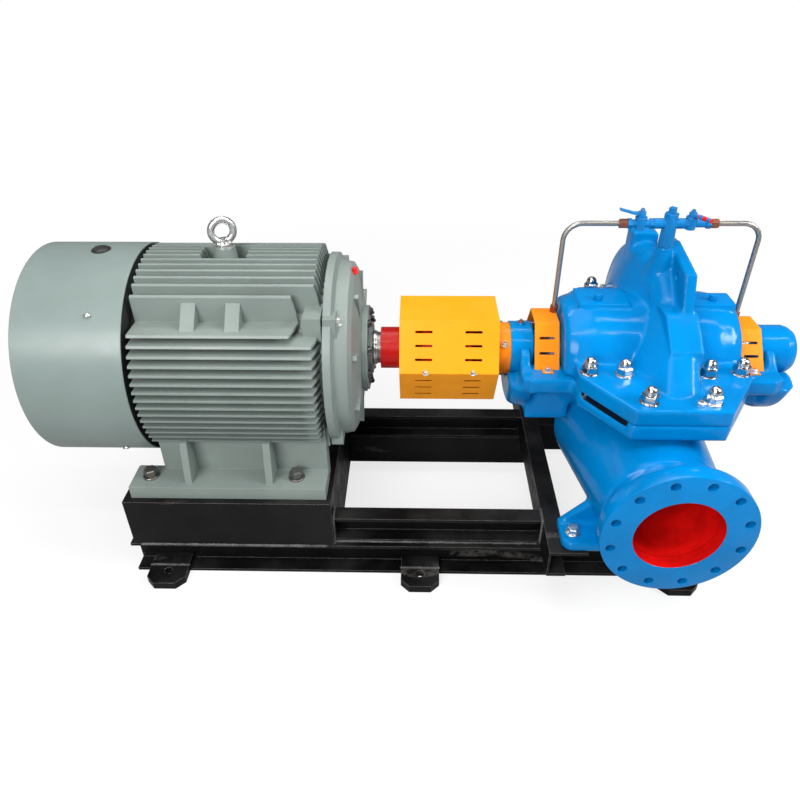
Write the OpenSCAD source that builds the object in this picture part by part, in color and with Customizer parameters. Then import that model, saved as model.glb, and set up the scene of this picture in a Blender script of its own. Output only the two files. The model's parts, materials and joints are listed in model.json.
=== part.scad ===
// Split case pump with a foot mounted motor on a welded channel base.
// Millimetres, +Z up, +X along the shaft from the motor towards the pump.
// Origin on the floor at the centre of the foundation bolts.

/* [Set out] */
// Height of the shaft axis above the floor
shaft_z = 525; // [505:1:560]
// Middle of the pump casing from the middle of the base
pump_x = 560; // [550:1:570]
// Distance of the coupling gap from the pump middle
coupling_reach = 498; // [490:1:510]
// Distance of the coupling gap from the middle of the motor feet
motor_reach = 558; // [550:1:566]

/* [Base frame] */
// Length of the two main rails
rail_len = 1510; // [1500:2:1560]
// Height of the main rail channel
rail_h = 100; // [90:1:110]
// Flange width of the main rail channel
rail_w = 48; // [44:1:56]
// Flange thickness of the main rail channel
rail_flange = 8; // [6:0.5:10]
// Web thickness of the main rail channel
rail_web = 6; // [5:0.5:8]
// Distance of the flange tips of the main rails from the shaft plane
rail_tip_y = 290; // [280:1:310]
// Height of the upper channels
upper_h = 80; // [70:1:90]
// Flange width of the upper channels
upper_w = 43; // [40:1:50]
// Flange thickness of the upper channels
upper_flange = 8; // [6:0.5:9]
// Web thickness of the upper channels
upper_web = 5; // [4:0.5:7]
// Distance of the front upper channel's flange tips from the shaft plane
upper_y = 273; // [268:1:278]
// Distance of the inner back channels from the shaft plane
inner_y = 172; // [168:1:180]
// Width of the beams that carry the pump
beam_w = 47; // [44:1:52]
// Distance of the left pump beam from the pump middle
beam_reach = 251; // [246:1:256]
// Half length of the left pump beam
beam_y = 380; // [376:1:390]
// Distance of the right pump beam's outer face from the pump middle
end_beam_reach = 190; // [184:1:194]
// Half length of the right pump beam
end_beam_y = 345; // [340:1:352]
// Width of the bolting plates on the left pump beam
bolting_w = 92; // [86:1:98]
// Inner edge of the bolting plates from the shaft plane
bolting_y = 285; // [280:1:290]
// Plate thickness of the motor pedestal
pedestal_t = 12; // [8:1:16]
// Reach of the pedestal from the middle of the motor feet to its fan end
pedestal_back = 247; // [244:1:252]
// Reach of the pedestal from the middle of the motor feet to its drive end
pedestal_front = 273; // [268:1:278]
// Width of the two pedestal sides that carry the motor feet
pedestal_rim = 143; // [130:1:150]
// Thickness of the foundation lugs
lug_t = 22; // [18:1:26]
// Width of a foundation lug
lug_w = 100; // [90:1:110]
// Length of a lug beyond the rail
lug_out = 63; // [58:1:68]
// Corner cut of a lug
lug_cut = 22; // [16:1:28]
// Radius of the foundation bolt holes
lug_hole_r = 11; // [8:0.5:14]
// Distance of the end lugs from the rail ends
lug_inset = 90; // [80:1:100]
// Distance of the foundation bolts beyond the rail
lug_bolt_out = 20; // [18:1:30]

/* [Motor] */
// Height of the motor shaft above its feet
motor_h = 280; // [270:1:290]
// Outer radius of the cooling fins
fin_r = 262; // [255:1:266]
// Radius of the frame under the fins
core_r = 206; // [200:1:212]
// Distance between neighbouring fins
fin_pitch = 20.5; // [19:0.1:22]
// Thickness of a fin
fin_t = 6; // [4:0.5:8]
// Length of the slanted fin ends
fin_cut = 15; // [10:1:22]
// Distance of the corner pad plates from the shaft axis
corner_y = 149; // [147:0.5:150]
// Reach of the frame from the middle of the feet to its fan end
frame_back = 164; // [160:1:170]
// Reach of the frame from the middle of the feet to its drive end
frame_front = 271; // [266:1:276]
// Thickness of the feet
foot_t = 35; // [30:1:40]
// Outer edge of the feet from the shaft plane
foot_out = 273; // [268:1:278]
// Inner edge of the feet from the shaft plane
foot_in = 190; // [186:1:194]
// Distance between the foot bolts along the shaft
foot_bolt_x = 368; // [360:1:376]
// Distance between the foot bolts across the shaft
foot_bolt_y = 457; // [450:1:464]
// Radius of the foot bolt holes
foot_hole_r = 12; // [10:0.5:13]
// Corner of the shield bolt ears from the shaft axis
ear_y = 182; // [178:1:186]
// Length of the frame ears along the shaft
ear_len = 38; // [32:1:44]
// Depth of the drive end shield along the shaft
shield_len = 76; // [70:1:82]
// Outer radius of the shield rim
rim_r = 241; // [236:1:246]
// Outer radius of the shield drum
drum_r = 219; // [214:1:224]
// Radius of the bearing cap
cap_r = 108; // [102:1:114]
// Radius of the bearing cap boss
cap_boss_r = 66; // [62:1:70]
// Outer radius of the fan cowl
cowl_r = 264; // [258:1:270]
// Wall thickness of the fan cowl
cowl_t = 3; // [2:0.5:5]
// Length of the fan cowl
cowl_len = 251; // [246:1:260]
// Radius of the motor shaft
motor_shaft_r = 40; // [36:0.5:44]
// Radius of the fan seat on the motor shaft
fan_seat_r = 30; // [26:0.5:34]
// Radius of the cooling fan
fan_r = 205; // [195:1:215]
// Length of the cooling fan
fan_len = 80; // [70:1:90]
// Distance of the lifting eye from the middle of the feet
eye_dx = 27; // [22:1:32]
// Middle radius of the lifting eye
eye_r = 26; // [24:0.5:28]
// Wire radius of the lifting eye
eye_wire_r = 8.5; // [7:0.5:9]
// Radius of the lifting eye boss
eye_boss_r = 30; // [27:0.5:33]
// Length of the terminal box
box_len = 210; // [200:1:220]
// Height of the terminal box
box_h = 150; // [140:1:154]
// Depth of the terminal box
box_d = 126; // [116:1:130]

/* [Coupling] */
// Radius of the coupling hubs
hub_r = 53; // [48:0.5:58]
// Radius of the coupling flanges inside the guard
hub_flange_r = 98; // [90:1:102]
// Length of each coupling flange
hub_flange_len = 60; // [54:1:66]
// Length of the pump hub
hub_len = 114; // [108:1:118]
// Gap between the coupling halves
hub_gap = 5; // [4:0.5:8]
// Clearance between the bearing cap and the motor hub
hub_clear = 20; // [16:1:24]
// Half width of the flat top of the coupling guard
guard_top_y = 67; // [62:1:72]
// Half height of the coupling guard
guard_top_z = 114; // [110:1:118]
// Half width of the coupling guard at shaft height
guard_side_y = 127; // [122:1:134]
// Reach of the guard from the coupling gap towards the motor
guard_reach = 117; // [112:1:120]
// Sheet thickness of the guards
guard_t = 3; // [2:0.5:4]
// Length of the ring between the guard and the drive bearing
ring_len = 35; // [30:1:40]
// Outer radius of that ring
ring_r = 66; // [62:1:69]

/* [Pump] */
// Radius of the pump shaft
pump_shaft_r = 35; // [32:0.5:38]
// Reach of the casing from the pump middle to its outer seal end
casing_half = 197; // [190:1:202]
// Extra reach of the casing at its drive seal end
drive_extra = 22; // [16:1:26]
// Outer radius of the suction chambers
chamber_r = 146; // [142:1:150]
// Radius of the chamber ends
chamber_end_r = 126; // [120:1:132]
// Thickness of each half of the split flange
split_t = 40; // [34:1:46]
// Front edge of the split flange from the shaft plane
split_front_y = 333; // [328:1:338]
// Back edge of the split flange from the shaft plane
split_back_y = 284; // [278:1:290]
// Half width of the split flange's front and back edges
split_mid_x = 103; // [98:1:108]
// Reach of the split flange beside the chambers
split_side_y = 194; // [188:1:200]
// Outer radius of the volute
volute_r = 219; // [214:1:224]
// Half thickness of the volute rim
volute_half = 38; // [34:1:42]
// Distance of the volute centre behind the shaft
volute_y = 95; // [90:1:100]
// Height of the volute centre above the shaft
volute_up = 22; // [18:1:26]
// Radius of the volute nose on the split flange
nose_r = 52; // [48:1:56]
// Radius of the volute nose at its root
nose_root_r = 78; // [74:1:82]
// Shift of the nose root towards the drive end
nose_shift = 44; // [38:1:48]
// Thickness of the lifting lugs
lift_t = 28; // [24:1:32]
// Outer radius of the drive bearing housing
bearing_r = 70; // [66:1:74]
// Outer radius of the outer bearing housing
outer_bearing_r = 63; // [60:1:68]
// Distance of the drive bearing's outer face from the pump middle
bearing_reach = 339; // [334:1:344]
// Length of the drive bearing housing
bearing_len = 54; // [50:1:58]
// Length of the outer bearing housing
outer_bearing_len = 104; // [98:1:110]
// Radius of the half round bracket ends
bracket_r = 146; // [142:1:150]
// Half width of the bracket arms
arm_y = 155; // [150:1:160]
// Half width of the webs under the bracket arms
arm_web_y = 110; // [104:1:116]
// Depth of the web under the drive bracket arm
arm_drop = 142; // [136:1:148]
// Depth of the web under the outer bracket arm
outer_arm_drop = 94; // [88:1:100]
// Half width of the drive seal guard's top
seal_top_y = 38; // [34:1:44]
// Height of the drive seal guard
seal_top_z = 95; // [92:1:98]
// Half width of the outer seal guard's top
outer_seal_top_y = 34; // [30:1:40]
// Height of the outer seal guard
outer_seal_top_z = 77; // [75:1:82]
// Half width of the seal guards at shaft height
seal_side_y = 105; // [100:1:110]
// Radius of the seal glands
gland_r = 66; // [62:1:70]
// Length of the seal glands
gland_len = 24; // [20:1:28]
// Thickness of the pump feet
pump_foot_t = 26; // [22:1:30]
// Outer edge of the left pump feet from the pump middle
pump_foot_x = 221; // [214:1:226]
// Front and back edges of the pump feet from the shaft plane
pump_foot_y = 375; // [370:1:380]
// Running clearance of the shafts in their bearings
run_gap = 0.05; // [0.02:0.01:0.1]
// Seating clearance of round parts
seat_gap = 0.3; // [0.2:0.05:0.4]

/* [Ports] */
// Outer radius of the suction flange
suction_flange_r = 170; // [165:1:175]
// Radius of the suction port
suction_r = 100; // [96:1:104]
// Radius of the suction bolt circle
suction_bolt_r = 147.5; // [145:0.5:150]
// Number of suction bolt holes
suction_bolts = 12; // [8:4:12]
// Distance of the suction face from the shaft plane
suction_y = 460; // [450:1:470]
// Thickness of the suction flange
suction_t = 38; // [34:1:42]
// Outer radius of the suction neck behind its flange
suction_neck_r = 121; // [118:1:124]
// Outer radius of the suction neck where it swells
suction_swell_r = 138; // [134:1:142]
// Length of the suction neck from its flange to the swell
suction_swell_len = 62; // [56:1:68]
// Shift of the suction passage towards the drive end
suction_shift = 10; // [6:1:14]
// Turn of the suction passage towards the drive end in degrees
suction_turn = 2.5; // [0:0.5:4]
// Outer radius of the suction neck at the casing
suction_root_r = 178; // [172:1:182]
// Drop of the port centres below the shaft
port_drop = 203; // [198:1:208]
// Outer radius of the discharge flange
discharge_flange_r = 142.5; // [138:0.5:147]
// Radius of the discharge port
discharge_r = 75; // [72:1:78]
// Radius of the discharge bolt circle
discharge_bolt_r = 120; // [117:0.5:123]
// Number of discharge bolt holes
discharge_bolts = 8; // [4:4:8]
// Distance of the discharge face from the shaft plane
discharge_y = 430; // [420:1:440]
// Thickness of the discharge flange
discharge_t = 26; // [22:1:30]
// Outer radius of the discharge neck behind its flange
discharge_neck_r = 94; // [90:1:98]
// Outer radius of the discharge neck at the casing
discharge_root_r = 140; // [134:1:146]
// Radius of the port bolt holes
port_hole_r = 11; // [10:0.5:12]

/* [Flush line] */
// Outer radius of the flush tubes
tube_r = 6; // [5:0.5:7]
// Bend radius of the flush tubes
tube_bend = 42; // [36:1:48]
// Height of the flush line above the shaft
line_up = 323; // [318:1:328]
// Distance of the flush line from the shaft plane
line_y = 20; // [14:1:26]
// Distance of the tee from the pump middle
tee_dx = 10; // [4:1:16]
// Height of the tee's seat above the shaft
tee_seat = 270; // [266:1:274]
// Distance of the left cock from the tee
left_cock_dx = 68; // [66:1:72]
// Distance of the right cock from the tee
right_cock_dx = 62; // [60:1:66]
// Distance of the right lever's pin from the middle of its cock
plug_dx = 14; // [10:1:15]
// Half length of a cock
cock_half = 30; // [28:1:32]
// Length of a flush line nut
nut_len = 18; // [16:1:20]
// Distance of the left tube drop from the casing end
left_drop = 12; // [10:0.5:16]
// Distance of the right tube drop from the casing end
right_drop = 26; // [22:0.5:30]
// Length of a cock lever
lever_len = 52; // [46:1:58]
// Turn of the right lever out of the flush line
lever_turn = 60; // [30:1:70]

/* [Hidden] */
$fn = 64;
coupling_x = pump_x - coupling_reach;
motor_x = coupling_x - motor_reach;
rail_x0 = -rail_len / 2;
rail_back_y = rail_tip_y - rail_w;
upper_top = rail_h + upper_h;
foot_z = shaft_z - motor_h;
lug_pitch = rail_len / 2 - lug_inset;
lug_bolt_y = rail_tip_y + lug_bolt_out;
ped_x0 = motor_x - pedestal_back;
ped_x1 = motor_x + pedestal_front;
beam_x = pump_x - beam_reach;
end_beam_x1 = pump_x + end_beam_reach;
frame_x0 = motor_x - frame_back;
frame_x1 = motor_x + frame_front;
fin_x0 = frame_x0 + fin_t * 0.3;
fin_x1 = frame_x1 - fin_t;
shield_x1 = frame_x1 + shield_len;
cap_x1 = shield_x1 + shield_len * 0.2;
cap_boss_x1 = shield_x1 + shield_len * 0.33;
cowl_x1 = frame_x0 - cowl_t * 3;
cowl_x0 = cowl_x1 - cowl_len;
rear_x0 = frame_x0 - cowl_len * 0.117;
fan_x1 = frame_x0 - cowl_len * 0.43;
fan_x0 = fan_x1 - fan_len;
eye_x = motor_x + eye_dx;
eye_seat = fin_r + eye_boss_r * 0.4;
hub_x0 = cap_boss_x1 + hub_clear;
hub_x1 = coupling_x + hub_len;
drive_x0 = pump_x - bearing_reach;
drive_x1 = drive_x0 + bearing_len;
ring_x0 = drive_x0 - ring_len;
guard_x0 = coupling_x - guard_reach;
seal_x0 = drive_x1;
drive_half = casing_half + drive_extra;
seal_x1 = pump_x - drive_half - gland_len * 0.25;
outer_x0 = pump_x + bearing_reach - bearing_len * 1.3;
outer_x1 = outer_x0 + outer_bearing_len;
outer_seal_x0 = pump_x + casing_half + gland_len * 0.6;
volute_z = shaft_z + volute_up;
port_z = shaft_z - port_drop;
line_z = shaft_z + line_up;
tee_x = pump_x + tee_dx;
left_drop_x = pump_x - drive_half - left_drop;
right_drop_x = pump_x + casing_half + right_drop;
left_cock_x = tee_x - left_cock_dx;
right_cock_x = tee_x + right_cock_dx;
pad_z = chamber_r + 2.5;
black = [0.05, 0.05, 0.055];
grey = [0.42, 0.47, 0.45];
blue = [0.0, 0.45, 0.85];
yellow = [0.98, 0.68, 0.1];
orange = [0.95, 0.5, 0.08];
red = [0.8, 0.08, 0.04];
steel = [0.65, 0.65, 0.66];
copper = [0.6, 0.3, 0.2];

front_rail();
back_rail();
left_cross_member();
middle_cross_member();
right_cross_member();
front_upper_channel();
back_inner_channel();
back_upper_channel();
pump_cross_beam();
end_cross_beam();
motor_pedestal();
foundation_lugs();
motor_frame();
drive_end_shield();
drive_bearing_cap();
rear_end_shield();
fan_cowl();
cooling_fan();
eye_bolt();
terminal_box();
motor_shaft();
motor_hub();
pump_hub();
coupling_guard();
guard_ring();
lower_casing();
upper_casing();
drive_bearing();
outer_bearing();
seal_glands();
drive_seal_guard();
outer_seal_guard();
pump_shaft();
tee_fitting();
left_cock();
right_cock();
left_lever();
right_lever();
left_tube();
right_tube();
tube_nuts();
casing_plugs();

// Cylinder along X between two stations on the shaft axis
module rod_x(x0, x1, r) {
    translate([x0, 0, shaft_z])
        rotate([0, 90, 0])
            cylinder(h = x1 - x0, r = r);
}

// Box between two opposite corners
module box(a, b) {
    translate(a)
        cube(b - a);
}

// Stand a drawing made in the YZ plane up along X
module along_x(x0, l) {
    translate([x0, 0, shaft_z])
        rotate([90, 0, 90])
            linear_extrude(l)
                children();
}

// Turn a drawing of radius against station about the shaft axis
module turned_x(x0) {
    translate([x0, 0, shaft_z])
        rotate([0, 90, 0])
            rotate_extrude()
                children();
}

// Channel along X with its flanges pointing to -Y
module channel_front(x0, x1, y0, z0, w, h, tf, tw) {
    difference() {
        box([x0, y0, z0], [x1, y0 + w, z0 + h]);
        box([x0 - 1, y0 - 1, z0 + tf], [x1 + 1, y0 + w - tw, z0 + h - tf]);
    }
}

// Channel along X with its flanges pointing to +Y
module channel_back(x0, x1, y0, z0, w, h, tf, tw) {
    difference() {
        box([x0, y0, z0], [x1, y0 + w, z0 + h]);
        box([x0 - 1, y0 + tw, z0 + tf], [x1 + 1, y0 + w + 1, z0 + h - tf]);
    }
}

// Channel along Y with its flanges pointing to +X
module channel_right(x0, y0, y1, z0, w, h, tf, tw) {
    difference() {
        box([x0, y0, z0], [x0 + w, y1, z0 + h]);
        box([x0 + tw, y0 - 1, z0 + tf], [x0 + w + 1, y1 + 1, z0 + h - tf]);
    }
}

// Channel along Y with its flanges pointing to -X
module channel_left(x0, y0, y1, z0, w, h, tf, tw) {
    difference() {
        box([x0, y0, z0], [x0 + w, y1, z0 + h]);
        box([x0 - 1, y0 - 1, z0 + tf], [x0 + w - tw, y1 + 1, z0 + h - tf]);
    }
}

module front_rail() {
    color(black)
        channel_front(rail_x0, -rail_x0, -rail_tip_y, 0, rail_w, rail_h, rail_flange, rail_web);
}

module back_rail() {
    color(black)
        channel_back(rail_x0, -rail_x0, rail_back_y, 0, rail_w, rail_h, rail_flange, rail_web);
}

module left_cross_member() {
    color(black)
        channel_right(rail_x0, -rail_back_y, rail_back_y, 0, rail_w, rail_h, rail_flange, rail_web);
}

module middle_cross_member() {
    color(black)
        channel_left(ped_x1 - rail_w, -rail_back_y, rail_back_y, 0, rail_w, rail_h,
            rail_flange, rail_web);
}

module right_cross_member() {
    color(black)
        channel_left(-rail_x0 - rail_w, -rail_back_y, rail_back_y, 0, rail_w, rail_h,
            rail_flange, rail_web);
}

module front_upper_channel() {
    color(black)
        channel_front(ped_x1, beam_x, -upper_y, rail_h, upper_w, upper_h, upper_flange, upper_web);
}

module back_inner_channel() {
    color(black)
        channel_back(ped_x1, beam_x + beam_w, inner_y, 0, rail_w, rail_h, rail_flange, rail_web);
}

module back_upper_channel() {
    color(black)
        channel_front(ped_x1, beam_x, inner_y, rail_h, upper_w, upper_h, upper_flange, upper_web);
}

module pump_cross_beam() {
    color(black) {
        channel_right(beam_x, -beam_y, beam_y, rail_h, beam_w, upper_h, upper_flange, upper_web);
        for (s = [0, 1])
            mirror([0, s, 0])
                box([beam_x + beam_w - 1, -beam_y, upper_top - upper_flange],
                    [beam_x + bolting_w, -bolting_y, upper_top]);
    }
}

module end_cross_beam() {
    color(black)
        channel_left(end_beam_x1 - beam_w, -end_beam_y, end_beam_y, rail_h, beam_w, upper_h,
            upper_flange, upper_web);
}

module motor_pedestal() {
    color(black)
        difference() {
            box([ped_x0, -rail_tip_y, rail_h], [ped_x1, rail_tip_y, foot_z]);
            box([ped_x0 + pedestal_t, -rail_tip_y + pedestal_t, rail_h - 1],
                [ped_x1 - pedestal_t, rail_tip_y - pedestal_t, foot_z - pedestal_t]);
            box([ped_x0 - 1, pedestal_rim - rail_tip_y, rail_h - 1],
                [ped_x1 - pedestal_rim * 0.4, rail_tip_y - pedestal_rim, foot_z + 1]);
        }
}

// One lug plate on the floor pointing to -Y, stepped over the rail flange
module lug() {
    tip = -rail_tip_y - lug_out;
    web = -rail_back_y - rail_web;
    difference() {
        linear_extrude(lug_t)
            polygon([[-lug_w / 2, web], [lug_w / 2, web],
                [lug_w / 2, tip + lug_cut], [lug_w / 2 - lug_cut, tip],
                [lug_cut - lug_w / 2, tip], [-lug_w / 2, tip + lug_cut]]);
        box([-lug_w, -rail_tip_y, -1], [lug_w, web + 1, rail_flange]);
        translate([0, -lug_bolt_y, -1])
            cylinder(h = lug_t + 2, r = lug_hole_r);
    }
}

module foundation_lugs() {
    color(black)
        for (i = [-1, 0, 1])
            for (s = [0, 1])
                translate([i * lug_pitch, 0, 0])
                    mirror([0, s, 0])
                        lug();
}

// Envelope that trims fins, slanted at the drive end
module fin_envelope(x1, cut) {
    turned_x(fin_x0)
        polygon([[0, 0], [fin_r, 0], [fin_r, x1 - fin_x0 - cut],
            [core_r, x1 - fin_x0], [0, x1 - fin_x0]]);
}

// Upright fins on the top and level fins on both sides
module fin_plates() {
    top_n = floor((corner_y - fin_pitch * 0.9) / fin_pitch);
    side_n = floor((corner_y + core_r * 0.67) / fin_pitch);
    for (k = [-top_n : top_n])
        box([fin_x0, k * fin_pitch - fin_t / 2, shaft_z + core_r * 0.73],
            [fin_x1, k * fin_pitch + fin_t / 2, shaft_z + fin_r]);
    for (s = [0, 1])
        mirror([0, s, 0])
            for (k = [1 : side_n])
                box([fin_x0, -fin_r, shaft_z + corner_y - k * fin_pitch - fin_t / 2],
                    [fin_x1, -core_r * 0.68, shaft_z + corner_y - k * fin_pitch + fin_t / 2]);
}

// Plates that form the corner pads between the top fins and the side fins
module corner_plates() {
    for (s = [0, 1])
        mirror([0, s, 0]) {
            box([fin_x0, -corner_y - fin_t / 2, shaft_z + core_r * 0.58],
                [fin_x1, -corner_y + fin_t / 2, shaft_z + fin_r]);
            box([fin_x0, -fin_r, shaft_z + corner_y - fin_t / 2],
                [fin_x1, -core_r * 0.58, shaft_z + corner_y + fin_t / 2]);
        }
}

// Bars across the corner pads, from plate edge to plate edge
module pad_bars() {
    a = corner_y + fin_t / 2 - 1;
    b = corner_y * 1.33;
    for (s = [0, 1])
        mirror([0, s, 0])
            for (f = [-0.085, 0.19])
                along_x(motor_x + f * foot_bolt_x - fin_pitch * 0.8, fin_pitch * 1.6)
                    polygon([[-corner_y + fin_t, b + 3], [-a, b + 3], [-b, a + 1], [-b, corner_y - 1],
                        [-core_r * 0.6, core_r * 0.6]]);
}

// Gap in the top fins round the lifting eye boss
module eye_notch() {
    translate([eye_x, fin_pitch * 1.5, shaft_z])
        rotate([90, 0, 0])
            linear_extrude(fin_pitch * 3)
                polygon([[-eye_boss_r * 1.4, core_r + fin_t], [eye_boss_r * 1.4, core_r + fin_t],
                    [eye_boss_r * 1.9, fin_r + fin_t], [-eye_boss_r * 1.9, fin_r + fin_t]]);
}

// Foot on the -Y side with its web, gussets and bolt holes
module motor_foot() {
    x0 = ped_x0 + pedestal_t * 1.6;
    x1 = ped_x1 - pedestal_t;
    difference() {
        union() {
            box([x0, -foot_out, foot_z], [x1, -foot_in, foot_z + foot_t]);
            box([frame_x0 + fin_t, -foot_in - fin_t * 1.4, foot_z],
                [x1 - 1, -foot_in * 0.84, shaft_z - core_r * 0.45]);
            for (f = [-0.223, 0.326])
                along_x(motor_x + f * foot_bolt_x - fin_t * 1.5, fin_t * 3)
                    polygon([[-foot_out + fin_t * 2.7, foot_t - motor_h - 1],
                        [-foot_in, foot_t - motor_h - 1], [-foot_in, -corner_y * 0.9],
                        [-foot_out * 0.87, -corner_y * 0.9]]);
        }
        for (s = [-1, 1])
            translate([motor_x + s * foot_bolt_x / 2, -foot_bolt_y / 2, foot_z - 1])
                cylinder(h = foot_t + 2, r = foot_hole_r);
    }
}

// Square ears at the four corners that take the shield bolts
module corner_ears(x0, x1, c) {
    for (sy = [0, 1])
        for (sz = [0, 1])
            translate([0, 0, shaft_z])
                mirror([0, sy, 0])
                    mirror([0, 0, sz])
                        box([x0, -c, c * 0.66], [x1, -c * 0.6, c - 6]);
}

module motor_frame() {
    color(grey)
        difference() {
            union() {
                rod_x(frame_x0, frame_x1, core_r);
                intersection() {
                    fin_envelope(fin_x1, fin_cut);
                    difference() {
                        fin_plates();
                        eye_notch();
                    }
                }
                intersection() {
                    fin_envelope(fin_x1 - ear_len * 1.3, fin_cut);
                    corner_plates();
                }
                pad_bars();
                for (s = [0, 1])
                    mirror([0, s, 0])
                        motor_foot();
                corner_ears(frame_x1 - fin_t - ear_len, frame_x1 - fin_t * 0.5, ear_y + 3);
                translate([eye_x, 0, shaft_z + core_r * 0.9])
                    cylinder(h = eye_seat - core_r * 0.9, r1 = eye_boss_r * 1.15, r2 = eye_boss_r * 0.82);
                box([eye_x - box_len * 0.43, core_r * 0.73, shaft_z - box_h * 0.32],
                    [eye_x + box_len * 0.43, fin_r + 2, shaft_z + box_h * 0.37]);
            }
            rod_x(frame_x0 - 1, frame_x1 + 1, motor_shaft_r * 1.2);
        }
}

module drive_end_shield() {
    color(grey)
        difference() {
            union() {
                turned_x(frame_x1)
                    polygon([[0, 0], [rim_r, 0], [rim_r, shield_len * 0.24],
                        [drum_r + 4, shield_len * 0.32], [drum_r - 2, shield_len * 0.7],
                        [drum_r * 0.92, shield_len * 0.82], [drum_r * 0.72, shield_len * 0.93],
                        [cap_r, shield_len], [0, shield_len]]);
                corner_ears(frame_x1 + 1, frame_x1 + shield_len * 0.4, ear_y);
                for (a = [22.5 : 45 : 337.5])
                    translate([0, 0, shaft_z])
                        rotate([a, 0, 0])
                            box([frame_x1 + shield_len * 0.6, -fin_t, cap_r * 0.8],
                                [shield_x1 - 1, fin_t, drum_r * 0.89]);
            }
            rod_x(frame_x1 - 1, shield_x1 + 1, motor_shaft_r * 1.2);
        }
}

module drive_bearing_cap() {
    color(grey)
        difference() {
            union() {
                rod_x(shield_x1, cap_x1, cap_r);
                rod_x(shield_x1, cap_boss_x1, cap_boss_r);
            }
            rod_x(shield_x1 - 1, cap_boss_x1 + 1, motor_shaft_r + run_gap);
        }
}

module rear_end_shield() {
    color(grey)
        difference() {
            union() {
                rod_x(rear_x0, cowl_x1 - cowl_t, cowl_r - cowl_t - seat_gap);
                rod_x(rear_x0 + 1, frame_x0, core_r - cowl_t);
            }
            rod_x(rear_x0 - 1, frame_x0 + 1, motor_shaft_r + run_gap);
        }
}

// Sheet cowl with rings of air slots in its end
module fan_cowl() {
    w = cowl_r * 0.06;
    color(grey)
        difference() {
            rod_x(cowl_x0, cowl_x1, cowl_r);
            rod_x(cowl_x0 + cowl_t, cowl_x1 + 1, cowl_r - cowl_t);
            for (i = [0 : 5])
                difference() {
                    rod_x(cowl_x0 - 1, cowl_x0 + cowl_t + 1, cowl_r * 0.856 - i * w * 2);
                    rod_x(cowl_x0 - 2, cowl_x0 + cowl_t + 2, cowl_r * 0.856 - i * w * 2 - w);
                    for (a = [0, 45, 90, 135])
                        translate([0, 0, shaft_z])
                            rotate([a, 0, 0])
                                box([cowl_x0 - 2, -w / 2, -cowl_r], [cowl_x0 + cowl_t + 2, w / 2, cowl_r]);
                }
        }
}

module cooling_fan() {
    color(black)
        difference() {
            union() {
                rod_x(fan_x0, fan_x1, fan_r * 0.3);
                rod_x(fan_x1 - fan_len * 0.15, fan_x1 - fan_len * 0.05, fan_r * 0.97);
                for (a = [0 : 45 : 315])
                    translate([0, 0, shaft_z])
                        rotate([a, 0, 0])
                            box([fan_x0, -cowl_t, fan_r * 0.25],
                                [fan_x1 - fan_len * 0.07, cowl_t, fan_r]);
            }
            rod_x(fan_x0 - 1, fan_x1 + 1, fan_seat_r);
        }
}

module eye_bolt() {
    color(steel)
        translate([eye_x, 0, shaft_z + eye_seat]) {
            cylinder(h = eye_wire_r, r = eye_wire_r * 2.2);
            cylinder(h = eye_wire_r * 2.2, r = eye_wire_r * 1.3);
            translate([0, 0, eye_r + eye_wire_r * 1.3])
                rotate([90, 0, 25])
                    rotate_extrude()
                        translate([eye_r, 0])
                            circle(r = eye_wire_r);
        }
}

// Box on the far side with a lid rim and a cable entry boss
module terminal_box() {
    color(grey) {
        box([eye_x - box_len / 2, fin_r + 2, shaft_z - box_h * 0.47],
            [eye_x + box_len / 2, fin_r + box_d - 14, shaft_z + box_h * 0.53]);
        box([eye_x - box_len / 2 - 6, fin_r + box_d - 14, shaft_z - box_h * 0.47 - 6],
            [eye_x + box_len / 2 + 6, fin_r + box_d, shaft_z + box_h * 0.53 + 6]);
        translate([eye_x, fin_r + box_d / 2, shaft_z - box_h * 0.47 - 24])
            cylinder(h = 25, r = box_d * 0.25);
    }
}

module motor_shaft() {
    color(steel) {
        rod_x(fan_x0, fan_x1, fan_seat_r - run_gap);
        rod_x(fan_x1, coupling_x - hub_flange_len * 0.75, motor_shaft_r);
    }
}

module motor_hub() {
    color(red)
        difference() {
            union() {
                rod_x(hub_x0, coupling_x - hub_gap / 2, hub_r);
                rod_x(coupling_x - hub_flange_len, coupling_x - hub_gap / 2, hub_flange_r);
            }
            rod_x(hub_x0 - 1, coupling_x - hub_flange_len * 0.75, motor_shaft_r + run_gap);
        }
}

module pump_hub() {
    color(red)
        difference() {
            union() {
                rod_x(coupling_x + hub_gap / 2, hub_x1, hub_r);
                rod_x(coupling_x + hub_gap / 2, coupling_x + hub_flange_len, hub_flange_r);
            }
            rod_x(coupling_x + hub_gap * 2, hub_x1 + 1, pump_shaft_r + run_gap);
        }
}

// Hexagonal outline of a guard with flat top, seen along the shaft
module guard_outline(ty, tz, sy) {
    polygon([[-ty, tz], [ty, tz], [sy, 0], [ty, -tz], [-ty, -tz], [-sy, 0]]);
}

// Round ended slot through a sheet, cut along Y
module slot_y(x0, x1, y0, y1, z, r) {
    box([x0, y0, z - r], [x1, y1, z + r]);
    for (x = [x0, x1])
        translate([x, y0, z])
            rotate([-90, 0, 0])
                cylinder(h = y1 - y0, r = r);
}

// Slots through the slanted faces of the coupling guard
module guard_slots() {
    l = ring_x0 - guard_x0;
    for (f = [0.17, 0.67])
        for (k = [-0.78, -0.52, -0.26, 0.26, 0.52, 0.78])
            slot_y(guard_x0 + f * l, guard_x0 + f * l + l * 0.15, -guard_side_y - 5, guard_side_y + 5,
                shaft_z + k * guard_top_z, guard_t);
}

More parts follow.
